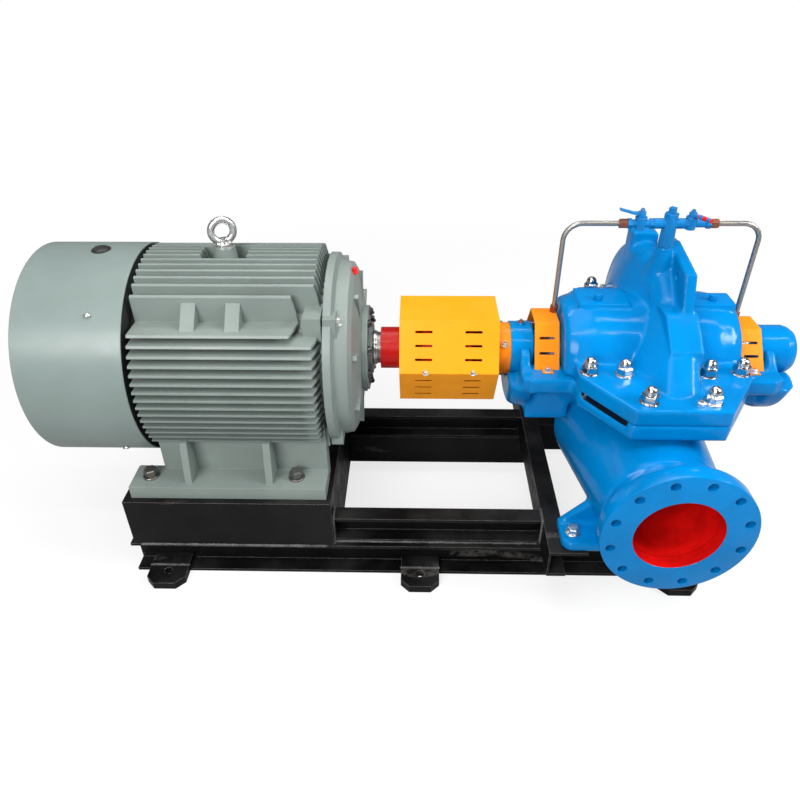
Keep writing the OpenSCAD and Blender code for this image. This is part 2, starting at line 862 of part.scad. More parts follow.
module coupling_guard() {
    color(yellow)
        difference() {
            along_x(guard_x0, ring_x0 - guard_x0)
                guard_outline(guard_top_y, guard_top_z, guard_side_y);
            along_x(guard_x0 - 1, ring_x0 - guard_x0 - guard_t + 1)
                guard_outline(guard_top_y - guard_t * 0.6, guard_top_z - guard_t,
                    guard_side_y - guard_t * 1.13);
            rod_x(guard_x0, ring_x0 + 1, pump_shaft_r * 1.43);
            difference() {
                guard_slots();
                box([guard_x0, -guard_top_y * 0.7, shaft_z - guard_side_y],
                    [ring_x0, guard_top_y * 0.7, shaft_z + guard_side_y]);
            }
        }
}

module guard_ring() {
    color(orange)
        difference() {
            rod_x(ring_x0, drive_x0, ring_r);
            rod_x(ring_x0 - 1, drive_x0 + 1, pump_shaft_r * 1.43);
        }
}

// Outline of the split flange seen from above
module split_outline() {
    polygon([[-split_mid_x, -split_front_y], [split_mid_x, -split_front_y],
        [casing_half, -split_side_y], [casing_half, split_side_y],
        [split_mid_x * 1.08, split_back_y], [-split_mid_x * 1.08, split_back_y],
        [-casing_half, split_side_y], [-casing_half, -split_side_y]]);
}

// Suction chambers, a barrel about the shaft with rounded ends
module chambers() {
    d = drive_half;
    e = casing_half;
    turned_x(pump_x)
        polygon([[0, -d], [chamber_end_r, -d], [chamber_end_r + 7, -d * 0.96],
            [chamber_end_r + 13, -d * 0.89], [chamber_r, -d * 0.7], [chamber_r, e * 0.68],
            [chamber_end_r + 13, e * 0.88], [chamber_end_r + 7, e * 0.96], [chamber_end_r, e], [0, e]]);
}

// Volute with sloping flanks and a round rim, about its own centre
module volute() {
    translate([pump_x, volute_y, volute_z])
        rotate([0, 90, 0])
            rotate_extrude() {
                polygon([[0, -volute_half * 1.6], [volute_r * 0.5, -volute_half * 1.6],
                    [volute_r - volute_half, -volute_half * 0.98],
                    [volute_r - volute_half, volute_half * 0.98],
                    [volute_r * 0.5, volute_half * 1.6], [0, volute_half * 1.6]]);
                translate([volute_r - volute_half, 0])
                    circle(r = volute_half);
            }
}

// Rounded nose that runs from the volute down to the front of the split flange
module nose() {
    root = [-nose_shift, volute_y * 0.63, volute_r * 0.6];
    tip = [0, nose_r * 1.5 - split_front_y, split_t];
    run = tip - root;
    flat = norm([run[0], run[1]]);
    l = norm(run);
    translate([pump_x, 0, shaft_z])
        translate(root)
            rotate([90 - atan2(run[2], flat), 0, atan2(run[0], -run[1])])
                rotate_extrude() {
                    polygon([[0, 0], [nose_root_r, 0], [nose_r, l], [0, l]]);
                    intersection() {
                        translate([0, l])
                            circle(r = nose_r);
                        translate([0, l - 1])
                            square([nose_r + 1, nose_r + 2]);
                    }
                }
}

// Cylinder along Y on the port axis
module port_rod(y0, l, r0, r1) {
    translate([pump_x, y0, port_z])
        rotate([-90, 0, 0])
            cylinder(h = l, r1 = r0, r2 = r1);
}

// Neck behind the suction flange and the passage that widens to the casing
module suction_passage() {
    y = -suction_y + suction_t + suction_swell_len;
    port_rod(y - suction_swell_len - 1, suction_swell_len + 1, suction_neck_r, suction_swell_r);
    translate([pump_x - suction_shift, y - suction_shift, port_z])
        rotate([-90, 0, suction_turn])
            cylinder(h = suction_shift - y - line_y, r1 = suction_swell_r, r2 = suction_root_r);
}

// Ring of bolt holes through a port flange
module port_holes(y0, t, bolt_r, n) {
    for (k = [0 : n - 1])
        translate([pump_x, y0 - 1, port_z])
            rotate([0, (k + 0.5) * 360 / n, 0])
                translate([bolt_r, 0, 0])
                    rotate([-90, 0, 0])
                        cylinder(h = t + 2, r = port_hole_r);
}

// Arm that carries a bearing on the +X side, with a half round end
module bracket(seat_r, seat_in, d0, d1, k1, k2, drop) {
    l = d1 - d0;
    c = casing_half - 6;
    difference() {
        union() {
            difference() {
                union() {
                    turned_x(pump_x)
                        polygon([[0, d0], [bracket_r * 0.96, d0], [bracket_r, d0 + l * 0.1],
                            [bracket_r, d0 + l * 0.58], [bracket_r * k1, d0 + l * 0.88],
                            [bracket_r * k2, d1], [0, d1]]);
                    box([pump_x + c, -arm_y, shaft_z - split_t + 1],
                        [pump_x + d0 + 12, arm_y, shaft_z + 6]);
                    box([pump_x + c, -arm_web_y, shaft_z - drop],
                        [pump_x + d0 + 9, arm_web_y, shaft_z + 6]);
                }
                box([pump_x, -bracket_r * 2, shaft_z],
                    [pump_x + d1 + 1, bracket_r * 2, shaft_z + bracket_r * 2]);
                box([pump_x + d0 + split_t * 0.75, -bracket_r * 2, shaft_z - split_t * 0.75],
                    [pump_x + d1 + 1, bracket_r * 2, shaft_z + 1]);
            }
            for (s = [0, 1])
                mirror([0, s, 0])
                    along_x(pump_x + d0 + 6, split_t * 0.6)
                        polygon([[-seat_r * 0.8, -split_t * 0.5], [-seat_r * 0.8, seat_r * 0.55],
                            [-seat_r - 10, seat_r * 0.5], [-bracket_r * 0.8, -split_t * 0.2],
                            [-bracket_r * 0.8, -split_t * 0.5]]);
        }
        rod_x(pump_x + seat_in, pump_x + d1 + 1, seat_r + seat_gap);
        rod_x(pump_x + casing_half, pump_x + seat_in + 1, gland_r * 1.18);
    }
}

// Foot in the -X -Y corner with a triangular gusset
module pump_foot(reach) {
    r = pump_foot_t;
    top = upper_top - shaft_z + pump_foot_t;
    translate([pump_x, 0, upper_top])
        linear_extrude(pump_foot_t) {
            translate([-reach + r, -pump_foot_y])
                square([reach - r - suction_neck_r * 0.35, pump_foot_y - bolting_y]);
            translate([-reach, -pump_foot_y + r])
                square([reach - suction_neck_r * 0.35, pump_foot_y - bolting_y - r]);
            translate([-reach + r, -pump_foot_y + r])
                circle(r = r);
        }
    translate([pump_x, -bolting_y + 1, shaft_z])
        rotate([90, 0, 0])
            linear_extrude(pump_foot_t * 0.7)
                polygon([[-reach, upper_top - shaft_z + 1], [-reach, top - 2],
                    [-reach * 0.57, -port_drop - 20], [-suction_neck_r * 0.3, -port_drop - 20],
                    [-suction_neck_r * 0.3, upper_top - shaft_z + 1]]);
}

// Long recess along the left front edge of the split joint
module split_recess() {
    a = [-casing_half, -split_side_y];
    b = [-split_mid_x, -split_front_y];
    translate([pump_x + a[0], a[1], shaft_z])
        rotate([0, 0, atan2(b[1] - a[1], b[0] - a[0])])
            box([split_t * 0.25, -split_t, -split_t * 0.4],
                [norm(b - a) - split_t * 0.5, split_t * 0.35, 1]);
}

module lower_casing() {
    color(blue)
        difference() {
            union() {
                intersection() {
                    union() {
                        chambers();
                        volute();
                    }
                    box([pump_x - drive_half - 1, -split_front_y, shaft_z - volute_r * 1.5],
                        [pump_x + casing_half + 1, split_front_y, shaft_z]);
                }
                translate([pump_x, 0, shaft_z - split_t])
                    linear_extrude(split_t)
                        split_outline();
                port_rod(-suction_y, suction_t, suction_flange_r, suction_flange_r);
                suction_passage();
                port_rod(discharge_y - discharge_t, discharge_t, discharge_flange_r, discharge_flange_r);
                port_rod(line_y, discharge_y - discharge_t - line_y + 1,
                    discharge_root_r, discharge_neck_r);
                bracket(outer_bearing_r, outer_x0 - pump_x, outer_x0 - pump_x + 4,
                    outer_x1 - pump_x - 20, 0.85, 0.62, outer_arm_drop);
                translate([2 * pump_x, 0, 0])
                    mirror([1, 0, 0])
                        bracket(bearing_r, pump_x - drive_x1, pump_x - drive_x1 + 4,
                            bearing_reach + 6, 0.945, 0.8, arm_drop);
                for (s = [0, 1])
                    mirror([0, s, 0]) {
                        pump_foot(pump_foot_x);
                        translate([2 * pump_x, 0, 0])
                            mirror([1, 0, 0])
                                pump_foot(end_beam_reach + 15);
                    }
                along_x(pump_x + 4, split_t * 0.4)
                    polygon([[-split_front_y * 0.9, -split_t + 1], [-split_front_y * 0.5, -split_t + 1],
                        [-split_front_y * 0.5, -port_drop * 0.8],
                            [-split_front_y * 0.8, -port_drop * 0.5]]);
            }
            port_rod(-suction_y - 1, suction_y * 0.7, suction_r, suction_r);
            port_rod(discharge_y * 0.44, discharge_y * 0.56 + 1, discharge_r, discharge_r);
            port_holes(-suction_y, suction_t, suction_bolt_r, suction_bolts);
            port_holes(discharge_y - discharge_t, discharge_t, discharge_bolt_r, discharge_bolts);
            rod_x(pump_x - drive_half - 1, pump_x + casing_half + 1, pump_shaft_r * 1.34);
            split_recess();
        }
}

// Lifting lug in front on the right of the volute, drilled for a shackle pin
module front_lug() {
    v = volute_r;
    difference() {
        along_x(pump_x + lift_t * 1.1, lift_t)
            polygon([[-v * 0.64, v * 0.27], [-v * 0.55, v * 0.735], [-v * 0.4, v * 1.11],
                [v * 0.24, v * 1.22], [v * 0.52, v * 1.18], [v * 0.52, v * 0.27]]);
        translate([pump_x, -v * 0.18, shaft_z + v * 0.99])
            rotate([0, 90, 0])
                cylinder(h = lift_t * 3, r = lift_t * 0.25);
    }
}

// Lifting lug across the back of the volute crest
module back_lug() {
    v = volute_r;
    translate([pump_x, v * 0.66, shaft_z])
        rotate([90, 0, 0])
            linear_extrude(v * 0.3)
                polygon([[-v * 0.24, v * 0.4], [-v * 0.225, v * 1.235], [0, v * 1.23],
                    [v * 0.1, v * 1.17], [v * 0.13, v * 0.4]]);
}

// Block in front of the lug that takes the vent
module vent_block() {
    v = volute_r;
    along_x(pump_x - lift_t * 0.25, lift_t * 2.75)
        polygon([[-v * 0.92, v * 0.1], [-v * 0.92, v * 0.48], [-v * 0.56, v * 0.735],
            [-v * 0.27, v * 0.735], [-v * 0.27, v * 0.1]]);
}

module upper_casing() {
    p = casing_half * 0.31;
    color(blue)
        difference() {
            union() {
                intersection() {
                    union() {
                        chambers();
                        volute();
                        nose();
                    }
                    box([pump_x - drive_half - 1, -split_front_y - 1, shaft_z],
                        [pump_x + casing_half + 1, split_front_y, shaft_z + volute_r * 2]);
                }
                translate([pump_x, 0, shaft_z])
                    linear_extrude(split_t)
                        split_outline();
                front_lug();
                back_lug();
                vent_block();
                box([pump_x - casing_half * 0.635 - p, -p * 0.75, shaft_z + split_t],
                    [pump_x - casing_half * 0.635 + p, p * 0.75, shaft_z + pad_z]);
                box([pump_x + casing_half * 0.635 - p, -p * 0.75, shaft_z + split_t],
                    [pump_x + casing_half * 0.635 + p, p * 0.35, shaft_z + pad_z]);
                translate([tee_x, line_y, shaft_z + volute_r * 0.8])
                    cylinder(h = tee_seat - volute_r * 0.8, r1 = lift_t * 1.4, r2 = lift_t * 0.6);
            }
            rod_x(pump_x - drive_half - 1, pump_x + casing_half + 1, pump_shaft_r * 1.34);
        }
}

module drive_bearing() {
    color(blue)
        difference() {
            union() {
                rod_x(drive_x0, drive_x1, bearing_r);
                translate([(drive_x0 + drive_x1) / 2, 0, shaft_z])
                    cylinder(h = bearing_r + 5, r = 9);
            }
            rod_x(drive_x0 - 1, drive_x1 + 1, pump_shaft_r + run_gap);
        }
}

// Housing closed by a domed cover at its outer end
module outer_bearing() {
    l = outer_bearing_len;
    color(blue)
        difference() {
            turned_x(outer_x0)
                polygon([[0, 0], [outer_bearing_r, 0], [outer_bearing_r, l * 0.72],
                    [outer_bearing_r * 0.95, l * 0.82], [outer_bearing_r * 0.83, l * 0.93],
                    [outer_bearing_r * 0.6, l], [0, l]]);
            rod_x(outer_x0 - 1, outer_x1 - l * 0.12, pump_shaft_r + run_gap);
        }
}

module seal_glands() {
    color(steel)
        difference() {
            union() {
                rod_x(pump_x - drive_half - gland_len, pump_x - drive_half, gland_r);
                rod_x(pump_x + casing_half, pump_x + casing_half + gland_len, gland_r);
            }
            rod_x(drive_x0, outer_x1, pump_shaft_r + 5);
        }
}

// Half hexagon sheet over one shaft seal, with two slots each side and screw tabs
module seal_guard(x0, x1, ty, tz) {
    t = guard_t * 1.3;
    m = (x0 + x1) / 2;
    difference() {
        along_x(x0, x1 - x0)
            polygon([[-ty, tz], [ty, tz], [seal_side_y, 0], [seal_side_y - t, 0],
                [ty - guard_t * 0.5, tz - guard_t], [guard_t * 0.5 - ty, tz - guard_t],
                [t - seal_side_y, 0], [-seal_side_y, 0]]);
        for (s = [0, 1])
            mirror([0, s, 0])
                for (k = [0.34, 0.66])
                    slot_y(x0 + (x1 - x0) * 0.24, x1 - (x1 - x0) * 0.24, -seal_side_y - 1,
                        -ty * 0.9, shaft_z + k * tz, guard_t);
    }
    for (s = [0, 1])
        mirror([0, s, 0])
            box([m - 13, -seal_side_y - 18, shaft_z], [m + 13, -seal_side_y + t * 0.7, shaft_z + guard_t]);
}

module drive_seal_guard() {
    color(orange)
        seal_guard(seal_x0, seal_x1, seal_top_y, seal_top_z);
}

module outer_seal_guard() {
    color(orange)
        seal_guard(outer_seal_x0, outer_x0 - 1, outer_seal_top_y, outer_seal_top_z);
}

module pump_shaft() {
    color(steel)
        rod_x(coupling_x + hub_gap * 2, outer_x1 - outer_bearing_len * 0.2, pump_shaft_r);
}

// Tee with a hexagon plug on top
module tee_fitting() {
    l = left_cock_dx - cock_half;
    r = right_cock_dx - cock_half;
    color(blue)
        translate([tee_x, line_y, line_z]) {
            translate([0, 0, tee_seat - line_up])
                cylinder(h = line_up - tee_seat + tube_r * 2.4, r1 = tube_r * 3, r2 = tube_r * 2.5);
            translate([-l, 0, 0])
                rotate([0, 90, 0])
                    cylinder(h = l + r, r = tube_r * 2);
            translate([0, 0, tube_r * 2.4])
                cylinder(h = tube_r * 1.6, r = tube_r * 2.8, $fn = 6);
            translate([0, 0, tube_r * 4])
                cylinder(h = tube_r * 2.3, r = tube_r * 1.6, $fn = 4);
        }
}

// Cock body along X with a plug housing across it and a hexagon at each end
module cock_body(dx) {
    translate([-cock_half, 0, 0])
        rotate([0, 90, 0]) {
            cylinder(h = cock_half * 2, r = tube_r * 1.5);
            for (z = [0, cock_half * 2 - tube_r * 1.6])
                translate([0, 0, z])
                    rotate([0, 0, 30])
                        cylinder(h = tube_r * 1.6, r = tube_r * 2, $fn = 6);
        }
    translate([dx, 0, -tube_r * 2.2])
        cylinder(h = tube_r * 4.8, r1 = tube_r * 1.9, r2 = tube_r * 2.3);
}

module left_cock() {
    color(blue)
        translate([left_cock_x, line_y, line_z])
            cock_body(0);
}

module right_cock() {
    color(blue)
        translate([right_cock_x, line_y, line_z])
            cock_body(-plug_dx);
}

// Lever that rises towards its end, pointing to -X
module left_lever() {
    color(blue)
        translate([left_cock_x, line_y, line_z + tube_r * 2.6 + seat_gap]) {
            cylinder(h = tube_r * 2, r = tube_r * 1.5);
            translate([0, tube_r, 0])
                rotate([90, 0, 0])
                    linear_extrude(tube_r * 2)
                        polygon([[0, tube_r], [-lever_len * 0.35, tube_r], [-lever_len, tube_r * 2.6],
                            [-lever_len, tube_r * 3.3],
                            [-lever_len * 0.35, tube_r * 1.8], [0, tube_r * 1.8]]);
        }
}

// Lever with a round grip, part closed
module right_lever() {
    color(blue)
        translate([right_cock_x - plug_dx, line_y, line_z + tube_r * 2.6 + seat_gap])
            rotate([0, 0, -lever_turn]) {
                cylinder(h = tube_r * 1.6, r = tube_r * 1.5);
                box([0, -tube_r * 0.8, tube_r * 0.4], [tube_r * 3, tube_r * 0.8, tube_r * 1.2]);
                translate([tube_r * 2.5, 0, tube_r * 0.9])
                    rotate([0, 90, 0])
                        cylinder(h = lever_len - tube_r * 2.5, r = tube_r * 0.85);
            }
}

// Flush tube along +X with one bend down to a seal at distance l and depth d
module flush_tube(l, d, b) {
    rotate([0, 90, 0])
        cylinder(h = l - b, r = tube_r);
    translate([l - b, 0, -b])
        rotate([90, 0, 0])
            rotate_extrude(angle = 90)
                translate([b, 0])
                    circle(r = tube_r);
    translate([l, 0, -d])
        cylinder(h = d - b, r = tube_r);
}

module left_tube() {
    x = left_cock_x - cock_half - nut_len * 0.8;
    color(steel)
        translate([x, line_y, line_z])
            mirror([1, 0, 0])
                flush_tube(x - left_drop_x, line_up - seal_top_z - nut_len * 0.7, tube_bend);
}

module right_tube() {
    x = right_cock_x + cock_half + nut_len * 0.8;
    color(steel)
        translate([x, line_y, line_z])
            flush_tube(right_drop_x - x, line_up - outer_seal_top_z - nut_len * 0.7, tube_bend);
}

// Hexagon nut along +Z with a socket for a tube in its far end
module tube_nut(r, l, socket, gap) {
    difference() {
        cylinder(h = l, r = r, $fn = 6);
        translate([0, 0, l - socket])
            cylinder(h = socket + 1, r = tube_r + gap);
    }
}

module tube_nuts() {
    color(copper) {
        translate([left_cock_x - cock_half, line_y, line_z])
            rotate([0, -90, 0])
                tube_nut(tube_r * 1.9, nut_len, nut_len * 0.2, seat_gap);
        translate([right_cock_x + cock_half, line_y, line_z])
            rotate([0, 90, 0])
                tube_nut(tube_r * 1.9, nut_len, nut_len * 0.2, seat_gap);
        translate([left_drop_x, line_y, shaft_z + seal_top_z])
            tube_nut(tube_r * 1.6, nut_len, nut_len * 0.4, seat_gap);
        translate([right_drop_x, line_y, shaft_z + outer_seal_top_z])
            tube_nut(tube_r * 1.6, nut_len, nut_len * 0.4, seat_gap);
    }
}

module casing_plugs() {
    color(blue)
        for (s = [-1, 1])
            translate([pump_x + s * casing_half * 0.695, -line_y, shaft_z + pad_z])
                cylinder(h = tube_r * 2.3, r = tube_r * 1.7, $fn = 6);
}
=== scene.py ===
"""Looks of a split case pump set: painted castings, folded guards, fasteners, welds and a plain studio."""

import json
import math

import bmesh
import bpy
import numpy as np
from bpy.props import FloatProperty, FloatVectorProperty, IntProperty, PointerProperty
from mathutils import Matrix, Vector


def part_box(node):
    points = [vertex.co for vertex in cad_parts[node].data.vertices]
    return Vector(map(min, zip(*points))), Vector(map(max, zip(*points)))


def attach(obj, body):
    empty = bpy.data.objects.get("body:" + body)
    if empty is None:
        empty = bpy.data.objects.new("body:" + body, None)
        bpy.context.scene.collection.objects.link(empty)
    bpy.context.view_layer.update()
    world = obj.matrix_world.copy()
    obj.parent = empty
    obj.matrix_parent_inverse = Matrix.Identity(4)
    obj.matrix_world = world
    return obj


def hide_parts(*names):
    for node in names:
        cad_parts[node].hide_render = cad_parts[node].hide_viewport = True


bl_info = {
    "name": "Split case pump set",
    "version": (1, 0, 0),
    "blender": (4, 5, 0),
    "location": "View3D > Sidebar > Pump set",
    "description": "Finishes, fasteners and stage for a split case pump with its motor on a welded base",
    "category": "Object",
}

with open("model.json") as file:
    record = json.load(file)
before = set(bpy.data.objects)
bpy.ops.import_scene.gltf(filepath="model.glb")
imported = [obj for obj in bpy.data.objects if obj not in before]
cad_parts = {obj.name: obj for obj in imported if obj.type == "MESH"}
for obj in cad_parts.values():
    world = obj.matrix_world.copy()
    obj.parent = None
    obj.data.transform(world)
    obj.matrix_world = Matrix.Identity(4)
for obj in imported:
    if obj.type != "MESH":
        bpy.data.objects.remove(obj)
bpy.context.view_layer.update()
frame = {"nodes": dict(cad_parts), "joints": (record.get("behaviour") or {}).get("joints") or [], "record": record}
MOUNTS = {mount["name"]: mount for mount in frame["record"]["mounts"]}
SHAFT_Z = frame["joints"][0]["pos_m"][2]
PUMP_X, SUCTION_Y, PORT_Z = MOUNTS["suction_bolts"]["pos_m"]
DISCHARGE_Y = MOUNTS["discharge_bolts"]["pos_m"][1]
CASING_ORIGIN = Vector((PUMP_X, 0.0, SHAFT_Z))
PORTS = (
    ("suction_flange", SUCTION_Y, dict(outer=0.17, neck=0.121, bore=0.1, thick=0.038, circle=0.1475, holes=12)),
    ("discharge_flange", DISCHARGE_Y, dict(outer=0.1425, neck=0.094, bore=0.075, thick=0.026, circle=0.12, holes=8)),
)
SLOT_ENDS = ((PUMP_X - 0.197, -0.194), (PUMP_X - 0.103, -0.333))
JOINT_THICK = 0.04
MOTOR = dict(
    height=0.28, foot_thick=0.035, foot_x=(-0.68, -0.312), foot_y=0.2285, ear=0.148, ear_deep=0.0304,
    cap_circle=0.088, cap_deep=0.0152, cowl_screw_x=-0.745, cowl_plug_x=-0.766,
)
UPPER_VOXEL, LOWER_VOXEL = 0.0038, 0.0054
SHARP = math.radians(35)
EVEN = (1.0, 1.0, 1.0)
WHITE = (1.0, 1.0, 1.0, 1.0)


# Node graphs


def tone_math(operation, swapped=False):
    """A method that adds a Math node on a tone and a second value."""

    def method(self, other):
        first, second = (other, self) if swapped else (self, other)
        return self.graph.add("ShaderNodeMath", {"operation": operation}, {0: first, 1: second})

    return method


class Tone:
    """An output socket in a graph; arithmetic on it adds Math nodes."""

    def __init__(self, graph, socket):
        self.graph = graph
        self.socket = socket

    __add__ = tone_math("ADD")
    __radd__ = tone_math("ADD", swapped=True)
    __sub__ = tone_math("SUBTRACT")
    __rsub__ = tone_math("SUBTRACT", swapped=True)
    __mul__ = tone_math("MULTIPLY")
    __rmul__ = tone_math("MULTIPLY", swapped=True)
    __truediv__ = tone_math("DIVIDE")
    __pow__ = tone_math("POWER")
    __gt__ = tone_math("GREATER_THAN")
    __lt__ = tone_math("LESS_THAN")
    most = tone_math("MAXIMUM")


class Graph:
    """A node tree with one method that adds any node."""

    def __init__(self, tree):
        self.tree = tree

    def feed(self, socket, value):
        """Links a tone or a list of tones to a socket, or sets the socket's value."""
        tones = value if isinstance(value, list) else [value]
        for one in tones:
            if isinstance(one, Tone):
                self.tree.links.new(one.socket, socket)
            else:
                socket.default_value = one

    def add(self, kind, settings=None, sockets=None, output=0):
        node = self.tree.nodes.new(kind)
        for name, value in (settings or {}).items():
            setattr(node, name, value)
        for name, value in (sockets or {}).items():
            self.feed(node.inputs[name], value)
        return Tone(self, node.outputs[output])

    def part(self, vector, axis):
        return self.add("ShaderNodeSeparateXYZ", None, {0: vector}, output=axis)

    def rays(self):
        """Whether a ray comes from the camera, from a mirror or through glass."""
        return [self.add("ShaderNodeLightPath", output=kind) for kind in (0, 3, 6)]


class Finish(Graph):
    """A material graph with the few patterns that the finishes share."""

    def __init__(self, name):
        self.material = bpy.data.materials.new(name)
        self.material.use_nodes = True
        super().__init__(self.material.node_tree)
        self.shader = self.tree.nodes["Principled BSDF"]
        self.place = self.add("ShaderNodeTexCoord", output=3)
        self.x, self.y, self.z = (self.part(self.place, axis) for axis in range(3))

    def noise(self, scale, detail, rough, stretch=EVEN):
        spread = self.add("ShaderNodeMapping", None, {"Vector": self.place, "Scale": stretch})
        sockets = {"Vector": spread, "Scale": scale, "Detail": detail, "Roughness": rough}
        return self.add("ShaderNodeTexNoise", None, sockets)

    def band(self, value, low, high):
        sockets = {"Value": value, "From Min": low, "From Max": high}
        return self.add("ShaderNodeMapRange", {"interpolation_type": "SMOOTHSTEP"}, sockets)

    def blend(self, share, first, second):
        return self.add("ShaderNodeMix", {"data_type": "RGBA"}, {0: share, 6: first, 7: second}, output=2)

    def normal(self):
        return self.add("ShaderNodeNewGeometry", output=1)

    def rounded(self, radius):
        return self.add("ShaderNodeBevel", {"samples": 6}, {"Radius": radius})

    def edges(self, radius, gain):
        sockets = {0: self.normal(), 1: self.rounded(radius)}
        along = self.add("ShaderNodeVectorMath", {"operation": "DOT_PRODUCT"}, sockets, output=1)
        return self.band((1.0 - along) * gain, 0.05, 0.9)

    def bump(self, height, strength, distance, normal=None):
        sockets = {"Height": height, "Strength": strength, "Distance": distance}
        if normal is not None:
            sockets["Normal"] = normal
        return self.add("ShaderNodeBump", None, sockets)

    def worn(self):
        """The colour that the finish has so far."""
        return Tone(self, self.shader.inputs["Base Color"].links[0].from_socket)

    def wear(self, **sockets):
        for name, value in sockets.items():
            self.feed(self.shader.inputs[name.replace("_", " ")], value)


def joint_place(body):
    """The place of the joint that carries a body."""
    return [joint for joint in frame["joints"] if joint["child"] == body][0]["pos_m"]


def rgba(colour, factor=1.0):
    return (colour[0] * factor, colour[1] * factor, colour[2] * factor, 1.0)


# Finishes


# The edge share, edge colour, gain and add below paint edges lighter: partly thin paint, partly a painted highlight
# where light catches the edges.
PAINT = dict(
    film=6.0, low=0.86, high=1.1, peel=260.0, peel_depth=0.08, runs=34.0, runs_depth=0.12,
    edge=0.004, thin=0.25, edge_colour=None, lift=1.0, lift_more=0.0,
    chip_scale=55.0, chip_from=0.34, chips=0.6, chip_colour=(0.2, 0.19, 0.18), scuffs=0.0,
    dust=0.12, dust_colour=(0.45, 0.43, 0.4), rough=0.3, rough_span=0.18, gloss=0.25, coat=0.1, coat_rough=0.08,
)


def gloss_paint(name, colour, changes):
    """Brushed or sprayed paint: uneven film, dust on top faces, thin paint and a painted highlight along edges, chips
    and scuffs along edges.
    """
    look = {**PAINT, **changes}
    f = Finish(name)
    film = f.noise(look["film"], 4.0, 0.6)
    peel = f.noise(look["peel"], 2.0, 0.5)
    runs = f.noise(look["runs"], 3.0, 0.5)
    chips = f.noise(look["chip_scale"], 6.0, 0.7)
    edge = f.edges(look["edge"], 3.0)
    bare = f.band(edge * chips, look["chip_from"], look["chip_from"] + 0.1)
    dust = f.band(f.part(f.normal(), 2), 0.3, 1.0) * f.band(f.noise(3.2, 6.0, 0.65), 0.42, 0.72) * look["dust"]
    scuffs = f.band(f.noise(11.0, 2.5, 0.5, (0.3, 1.0, 1.6)), 0.655, 0.7) * f.band(chips, 0.4, 0.6)
    # Thin paint and painted highlight: edges blend towards a lighter copy of the colour, standing in for light caught
    # along them.
    edge_highlight_tone = tuple(min(1.0, c * look["lift"] + look["lift_more"]) for c in colour)
    hue = f.blend(f.band(film, 0.3, 0.7), rgba(colour, look["low"]), rgba(colour, look["high"]))
    hue = f.blend(edge * look["thin"], hue, rgba(look["edge_colour"] or edge_highlight_tone))
    hue = f.blend(dust, hue, rgba(look["dust_colour"]))
    hue = f.blend(bare * look["chips"], hue, rgba(look["chip_colour"]))
    hue = f.blend(scuffs * look["scuffs"], hue, rgba(look["chip_colour"]))
    rough = f.band(f.noise(14.0, 5.0, 0.7), 0.25, 0.75) * look["rough_span"] + look["rough"]
    normal = f.bump(runs, look["runs_depth"], 0.004, f.rounded(look["edge"]))
    f.wear(
        Base_Color=hue,
        Roughness=rough + dust * 1.4,
        Normal=f.bump(peel, look["peel_depth"], 0.0006, normal),
        Metallic=0.0,
        Specular_IOR_Level=look["gloss"],
        Coat_Weight=look["coat"],
        Coat_Roughness=look["coat_rough"],
    )
    return f


METAL = dict(
    lines=900.0, stretch=(1.0, 0.02, 0.02), depth=0.12, rough=0.22, metal=1.0,
    stain=0.35, stain_scale=40.0, stain_from=0.5, stain_colour=(0.22, 0.16, 0.11),
)


def bare_metal(name, colour, changes):
    """Bare or plated metal with lathe or drawing lines, stains and finger marks."""
    look = {**METAL, **changes}
    f = Finish(name)
    lines = f.noise(look["lines"], 2.0, 0.5, look["stretch"])
    dull = f.band(f.noise(look["stain_scale"], 5.0, 0.7), look["stain_from"], look["stain_from"] + 0.22)
    hue = f.blend(f.band(lines, 0.3, 0.7), rgba(colour, 0.88), rgba(colour, 1.08))
    hue = f.blend(dull * look["stain"], hue, rgba(look["stain_colour"]))
    f.wear(
        Base_Color=hue,
        Roughness=f.band(lines, 0.2, 0.8) * 0.14 + look["rough"] + dull * 0.2,
        Metallic=look["metal"],
        Normal=f.bump(lines, look["depth"], 0.0005, f.rounded(0.0012)),
    )
    return f


PAINT_OVERLAP, BARE_RIM = 0.0035, 0.0015


def ports_painted_and_slot_shaded(f, colour):
    """Adds the inner paint of the two ports and a painted shadow in the pry slot to a casing finish."""
    across = ((f.x - PUMP_X) ** 2.0 + (f.z - PORT_Z) ** 2.0) ** 0.5 + (f.noise(60.0, 3.0, 0.6) - 0.5) * 0.004
    suction, discharge = (across < port["bore"] + PAINT_OVERLAP for _, _, port in PORTS)
    suction = suction * (f.y < -0.1) * (f.y > SUCTION_Y + BARE_RIM)
    discharge = discharge * (f.y > 0.15) * (f.y < DISCHARGE_Y - BARE_RIM)
    mottled = f.blend(f.band(f.noise(18.0, 4.0, 0.6), 0.3, 0.7), rgba(colour, 0.8), rgba(colour, 1.12))
    lined = f.blend(suction.most(discharge), f.worn(), mottled)
    # Painted shadow: inside the pry slot under the joint the paint turns near black, where the slot's shadow falls.
    (ax, ay), (bx, by) = SLOT_ENDS
    long = math.hypot(bx - ax, by - ay)
    ux, uy = (bx - ax) / long, (by - ay) / long
    along = (f.x - ax) * ux + (f.y - ay) * uy
    inward = (f.y - ay) * ux - (f.x - ax) * uy
    level = SHAFT_Z - f.z
    length = (along > 0.006) * (along < long - 0.014)
    depth = (inward > 0.0035) * (inward < 0.03)
    height = (level > 0.0004) * (level < 0.0165)
    f.wear(Base_Color=f.blend(length * depth * height, lined, (0.002, 0.008, 0.02, 1.0)))


STRIPE_PITCH, STRIPE_FROM, STRIPE_SHARE = 0.021, 0.018, 0.42


def stripe_painted(f, colour):
    """Adds wrapped stripes along the right cock's grip to a finish."""
    x, y, _ = joint_place("right_cock_lever")
    along = (f.x - x) * 0.5 - (f.y - y) * 0.866
    stripes = f.add("ShaderNodeMath", {"operation": "FRACT"}, {0: along / STRIPE_PITCH})
    f.wear(Base_Color=f.blend((stripes > STRIPE_SHARE) * (along > STRIPE_FROM), f.worn(), rgba(colour)))


